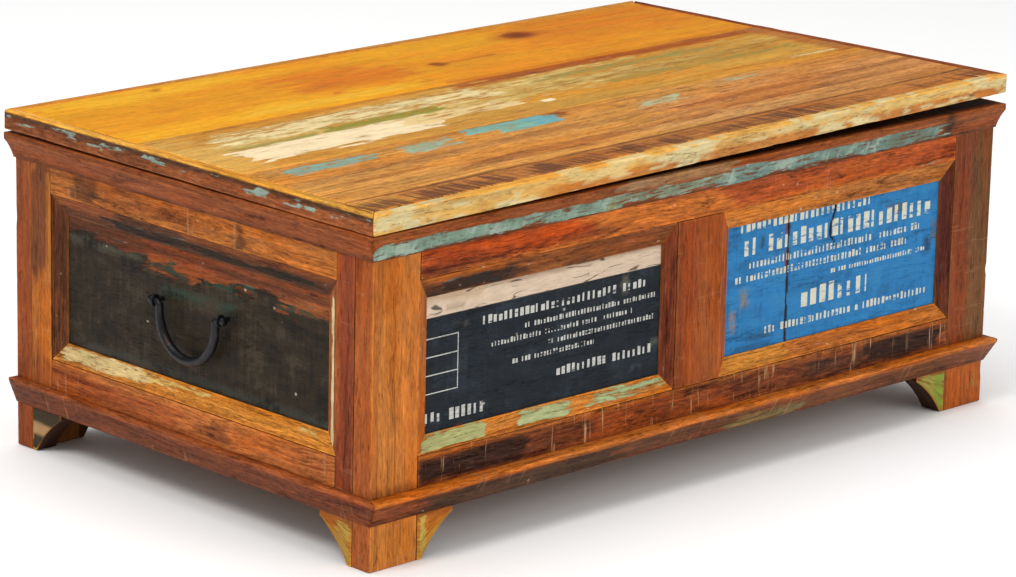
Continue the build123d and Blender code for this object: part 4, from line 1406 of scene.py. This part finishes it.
FRONT_CROWN_COATS = [
    patch(-8, 330, 303.5, 318, TEAL, 0.70, 40, 3, 3),
    patch(310, 490, 304, 317, "7f8a70", 0.62, 40, 3, 3),
    patch(470, 800, 303, 321, "728a80", 0.68, 40, 3.5, 3),
    patch(300, 320, 303, 309, "8a8a60", 0.6, 10, 2, 2),
]
# this dark band along the crown's lower edge, where it meets the wall, is painted shade
PLAIN_CROWN_SHADE_LINE = [patch(-8, 892, 300, 305, "5a3222", 0.6, 60, 1, 2)]
for wall in WALLS:
    section = [(out, up + crown_low[2]) for out, up in CROWN]
    run = moulding(f"{wall}_crown_strip", f"{wall}_crown", wall, section, crown_reaches)
    if wall == "front":
        dress(run, CROWN_TINT[wall], FRONT_CROWN_STAINS_AND_SHADE, FRONT_CROWN_COATS)
    else:
        dress(run, CROWN_TINT[wall], PLAIN_CROWN_SHADE_LINE)
    run.build(crown_wood, "teal_worn_moulding" if wall == "front" else "moulding_wood")

# (part of the reach, up) points
BASE = [(0.0, 0.0), (0.08, 0.0), (0.52, 0.011), (0.96, 0.0220), (1.0, 0.0245), (0.97, 0.0255),
        (0.90, 0.0260), (0.0, 0.0265)]
BASE_TINT = {"front": "7a452a", "left_end": "74402a", "right_end": "7d452a", "back": "7d452a"}
FRONT_BASE_STAINS = [
    patch(60, 330, 44, 66, "4a3526", 0.9, 40, 4, 5),
    patch(330, 520, 50, 66, "5f3d28", 0.8, 40, 4, 5),
    patch(480, 600, 44, 58, "7f7a52", 0.75, 30, 4, 5),
    patch(600, 830, 48, 66, "6b4229", 0.7, 50, 4, 5),
    patch(-10, 60, 44, 66, "8a482a", 0.7, 20, 4, 5),
]
base_reaches = {}
for wall, (axis, outward) in WALLS.items():
    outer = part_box(f"{wall}_base_moulding")[outward[0] == "+"][AXES[outward[1]]]
    base_reaches[wall] = abs(outer - face_at[wall])
for wall in WALLS:
    section = [(out * base_reaches[wall], base + up) for out, up in BASE]
    run = moulding(f"{wall}_base_strip", f"{wall}_base_moulding", wall, section, base_reaches)
    dress(run, BASE_TINT[wall], FRONT_BASE_STAINS if wall == "front" else [])
    top_colour = "c4733a" if wall == "front" else "9a5432"
    run.stain([patch(-20, 910, 66.5, 76, top_colour, 0.9, 60, 1, 1.5)])
    run.build(rail_wood, "moulding_wood")

# ---------------------------------------------------------------- feet


def bracket(node, wall, corner, sign, coats):
    """A curved bracket under a rail. It starts at corner and reaches along sign."""
    along = AXES[WALLS[wall][0][1]]
    tip = corner + sign * BRACKET["reach"]
    nose = base - BRACKET["nose"]
    chord_start = np.array([BRACKET["toe"], 0.0])
    chord_stop = np.array([BRACKET["reach"], nose])
    chord = chord_stop - chord_start
    chord_length = np.hypot(*chord)
    sag = BRACKET["sag"] * math.sqrt(2)
    radius = (chord_length**2 / 4 + sag**2) / (2 * sag)
    normal = np.array([chord[1], -chord[0]]) / chord_length
    centre = (chord_start + chord_stop) / 2 + normal * (radius - sag)

    def curved(points):
        bent = points.copy()
        run = np.abs(points[:, along] - corner)
        inside = np.clip(radius**2 - (run - centre[0]) ** 2, 0, None)
        lower = np.where(run > BRACKET["toe"], np.maximum(centre[1] + np.sqrt(inside), 0), 0)
        share = points[:, 2] / base
        bent[:, 2] = lower + (base - lower) * share
        return bent

    piece = wall_board(wall, node, wall, sorted((corner, tip)), (0.0, base), False, step=0.0018,
                       rounding=0.0012, chip=0.0014, warp=curved)
    dress(piece, "b8763a", [patch(-20, 900, 38, 46, "8a4a28", 0.6, 10, 3, 3)], coats)
    above = piece.local[:, 1] / MM
    pale = smooth(above, 17, 8) * piece.face
    piece.tint = blend_to(piece.tint, rgb("c9a04e"), 0.75 * pale)
    # the faces turned inwards, under the chest, are darkened with painted shade
    painted_shade_behind = smooth(-piece.normal[:, 2], 0.2, 0.8)
    piece.tint = blend_to(piece.tint, JOINT_AND_SHADE, 0.8 * painted_shade_behind)
    return piece


BRACKET_COATS = {
    ("front", "low"): [patch(60, 74, 0, 46, "c4a452", 0.6, 6, 8, 6)],
    ("front", "high"): [patch(776, 826, 0, 44, "a69a4c", 0.60, 10, 9, 8),
                        patch(806, 826, 0, 46, "8f9a40", 0.66, 5, 9, 5)],
    ("left_end", "high"): [patch(20, 80, 0, 46, "3f3424", 0.76, 10, 8, 6),
                          patch(28, 58, 20, 30, "b08a62", 0.56, 10, 4, 4)],
    ("left_end", "low"): [patch(486, 520, 0, 46, "b5924a", 0.52, 6, 8, 7)],
}
inner_leg = {
    "front": (span("front_left_leg", 0)[1], span("front_right_leg", 0)[0]),
    "left_end": (face_at["front"] + board, face_at["back"] - board),
}
for wall in WALLS:
    low, high = inner_leg["front" if wall in LONG_WALLS else "left_end"]
    node = "foot_brackets_long_sides" if wall in LONG_WALLS else "foot_brackets_ends"
    pair = [bracket(node, wall, corner, sign, BRACKET_COATS.get((wall, label), []))
            for label, corner, sign in (("low", low, 1), ("high", high, -1))]
    joined(f"{wall}_brackets", pair).build(frame_wood, "bracket_wood")

# ---------------------------------------------------------------- bottom

low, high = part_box("bottom_boards")
edges = np.linspace(face_at["front"] + board, face_at["back"] - board, BOTTOM_BOARDS + 1)
planks = []
for index, colour in enumerate(("9a6a3c", "a3743f", "8f6238")):
    corners = box_corners((low[0], edges[index] + BOTTOM_GAP / 2, low[2]),
                          (high[0], edges[index + 1] - BOTTOM_GAP / 2, high[2]), "+x", "+y", "+z")
    plank = slab(f"bottom_board_{index + 1}", ["bottom_boards"], "chest_body", corners, step=0.006)
    plank.tint[:] = rgb(colour)
    planks.append(plank)
joined("bottom_boards_worn", planks).build(inner_wood, "inner_wood")

low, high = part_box("bottom_cleats")
CLEAT = 0.020
inner_low, inner_high = low[1] + CLEAT, high[1] - CLEAT
cleats = []
for name, corner_low, corner_high, along, across in (
    ("front", low, (high[0], inner_low, high[2]), "+x", "+y"),
    ("back", (low[0], inner_high, low[2]), high, "+x", "+y"),
    ("left", (low[0], inner_low, low[2]), (low[0] + CLEAT, inner_high, high[2]), "+y", "-x"),
    ("right", (high[0] - CLEAT, inner_low, low[2]), (high[0], inner_high, high[2]), "+y", "-x"),
):
    cleat = slab(f"bottom_{name}_cleat", ["bottom_cleats"], "chest_body",
                 box_corners(corner_low, corner_high, along, across, "+z"), step=0.008)
    cleat.tint[:] = rgb("94683c")
    cleats.append(cleat)
joined("bottom_cleats_worn", cleats).build(inner_wood, "inner_wood")

# ---------------------------------------------------------------- iron and steel


def tube(name, node, body, path, radii, sides=20):
    """A forged bar along a path, with its own radius at each point."""
    path = np.asarray(path, float)
    ahead = np.gradient(path, axis=0)
    ahead = ahead / np.linalg.norm(ahead, axis=1, keepdims=True)
    side = np.cross(ahead, (1.0, 0.0, 0.0))
    side = side / np.linalg.norm(side, axis=1, keepdims=True)
    over = np.cross(ahead, side)
    angles = np.linspace(0, 2 * math.pi, sides, endpoint=False)
    rings = []
    for index, centre in enumerate(path):
        ring = (np.cos(angles)[:, None] * side[index] + np.sin(angles)[:, None] * over[index])
        rings.append(centre + ring * radii[index])
    points = np.concatenate(rings)
    seed = Piece.count + 1
    dents = noise(points, (160, 160, 160), seed, 2)
    middle = np.repeat(path, sides, 0)
    points = middle + (points - middle) * (1 + 0.10 * (dents[:, None] - 0.5))
    rows = len(path) - 1
    faces = []
    for row in range(rows):
        for column in range(sides):
            beside = (column + 1) % sides
            faces.append([row * sides + column, row * sides + beside,
                          (row + 1) * sides + beside, (row + 1) * sides + column])
    faces.append([column for column in reversed(range(sides))])
    faces.append([rows * sides + column for column in range(sides)])
    blank = np.zeros(len(points))
    piece = Piece(name, [node], body, points, faces, points.copy(), blank, blank)
    return piece.build(black_iron, "black_iron")


def arc(centre, radius, first, last, steps):
    """Points of an arc between two angles in degrees, in the plane of an end wall."""
    angles = np.radians(np.linspace(first, last, steps + 1))
    return [(centre[0], centre[1] + radius * cosine, centre[2] + radius * sine)
            for cosine, sine in zip(np.cos(angles), np.sin(angles))]


BAIL_RADIUS = {"pin": 0.0042, "neck": 0.0031, "bend": 0.0037, "swell": 0.0012}
BAIL_MARGIN = 0.0043  # between the bail's box and the middle of its bar
PIN_LENGTH = 0.0135
PIN_COLLAR = 0.0026
BAIL_BEND = 0.005


def bail(wall, body):
    """The drop handle of an end wall: a U that is thickest at the bottom."""
    low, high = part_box(f"{wall}_handle_bail")
    depth, middle = ((low[axis] + high[axis]) / 2 for axis in (0, 1))
    axis_z = high[2] - BAIL_MARGIN
    pin_reach = (high[1] - low[1]) / 2
    leg = pin_reach - PIN_LENGTH
    drop = axis_z - low[2] - BAIL_MARGIN
    corner = leg + BAIL_BEND
    path = [(depth, middle - pin_reach, axis_z), (depth, middle - pin_reach + 0.002, axis_z)]
    path += arc((depth, middle - corner, axis_z - BAIL_BEND), BAIL_BEND, 90, 0, 6)
    path += arc((depth, middle, axis_z - drop + leg), leg, 180, 360, 48)
    path += arc((depth, middle + corner, axis_z - BAIL_BEND), BAIL_BEND, 180, 90, 6)
    path += [(depth, middle + pin_reach - 0.002, axis_z), (depth, middle + pin_reach, axis_z)]
    radii = []
    for _, y, z in path:
        away = abs(y - middle)
        swell = BAIL_RADIUS["swell"] * min(1.0, 1.6 * max(0.0, (axis_z - z) / drop))
        slim = BAIL_RADIUS["neck" if away > leg + 0.001 else "bend"]
        collar = away > pin_reach - PIN_COLLAR
        radii.append(BAIL_RADIUS["pin"] if collar else slim + swell)
    return tube(f"{wall}_bail", f"{wall}_handle_bail", body, path, radii)


bail("left_end", "left_handle")
bail("right_end", "right_handle")

for node, material in (
    ("handle_eyes", black_iron),
    ("handle_nuts", black_iron),
    ("hinge_rim_leaves", dull_steel),
    ("hinge_lid_leaves", dull_steel),
    ("hinge_pins", dull_steel),
    ("hinge_rim_screws", dull_steel),
    ("hinge_lid_screws", dull_steel),
    ("batten_screws", dull_steel),
):
    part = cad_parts[node]
    part.data.materials.clear()
    part.data.materials.append(material)

# ---------------------------------------------------------------- stage, light and camera


def stage_floor():
    """A wide, flat, pale floor."""
    graph = Graph(bpy.data.materials.new("pale_floor"))
    place = graph.value("ShaderNodeTexCoord", output="Object")
    cloud = graph.noise(place, (1.5, 1.5, 1.5), 2.0)
    tone = 0.97 + cloud.spread(0.01)
    mesh = bpy.data.meshes.new("floor")
    reach = 14.0
    corners = [(-reach, -reach, 0), (reach, -reach, 0), (reach, reach, 0), (-reach, reach, 0)]
    mesh.from_pydata(corners, [], [(0, 1, 2, 3)])
    floor = bpy.data.objects.new("floor", mesh)
    bpy.context.scene.collection.objects.link(floor)
    mesh.materials.append(graph.finish(tone, 0.9, cloud, 0.0001, specular=0.1))


def level_axes(back):
    """The right and up directions of something level that looks away from back."""
    right = np.cross((0, 0, 1), back)
    right = right / np.linalg.norm(right)
    return right, np.cross(back, right)


def place_at(item, right, up, back, place):
    """Put a light or a camera into the scene with its three axes."""
    columns = np.column_stack([right, up, back, place])
    item.matrix_world = Matrix([*columns.tolist(), (0, 0, 0, 1)])
    bpy.context.scene.collection.objects.link(item)


def area_light(name, place, aim, size, power, colour):
    """A round lamp that faces a point."""
    lamp = bpy.data.lights.new(name, "AREA")
    lamp.shape = "DISK"
    lamp.size = size
    lamp.energy = power
    lamp.color = colour
    back = np.array(place, float) - np.array(aim, float)
    back = back / np.linalg.norm(back)
    place_at(bpy.data.objects.new(name, lamp), *level_axes(back), back, place)


stage_floor()
area_light("key", (-2.6, -0.6, 3.4), (0, 0, 0.2), 1.6, 58, (1.0, 0.97, 0.93))
area_light("fill", (0.4, -3.8, 1.8), (0, 0, 0.15), 2.4, 36, (1.0, 0.99, 0.97))
area_light("overhead", (0.0, 0.6, 3.6), (0, 0, 0.3), 3.0, 44, (1.0, 1.0, 1.0))

world = bpy.data.worlds.new("studio")
# the white surroundings light the chest but are dimmed in its reflections
sky = Graph(world)
glossy = sky.value("ShaderNodeLightPath", output="Is Glossy Ray")
white = {"Color": (1.0, 1.0, 1.0, 1.0), "Strength": 0.70 + glossy * -0.56}
sky.node("ShaderNodeOutputWorld", {"Surface": sky.value("ShaderNodeBackground", white)})
bpy.context.scene.world = world
bpy.context.scene.view_settings.view_transform = "Standard"

# The camera looks down on the left front corner from a few metres away.
CAMERA = {"azimuth": -44.180, "elevation": 15.140, "roll": 1.251, "lens": 153.056,
          "place": (-3.0260, -3.1054, 1.3178)}


def make_camera():
    """The camera, turned about its own line of sight by its roll."""
    angles = (CAMERA["azimuth"], CAMERA["elevation"], CAMERA["roll"])
    azimuth, elevation, roll = (math.radians(angle) for angle in angles)
    back = np.array([math.sin(azimuth) * math.cos(elevation),
                     -math.cos(azimuth) * math.cos(elevation), math.sin(elevation)])
    right, up = level_axes(back)
    turned_right = right * math.cos(roll) + up * math.sin(roll)
    turned_up = -right * math.sin(roll) + up * math.cos(roll)
    lens = bpy.data.cameras.new("camera")
    lens.sensor_width = 36.0
    lens.lens = CAMERA["lens"]
    camera = bpy.data.objects.new("camera", lens)
    place_at(camera, turned_right, turned_up, back, CAMERA["place"])
    bpy.context.scene.camera = camera


make_camera()
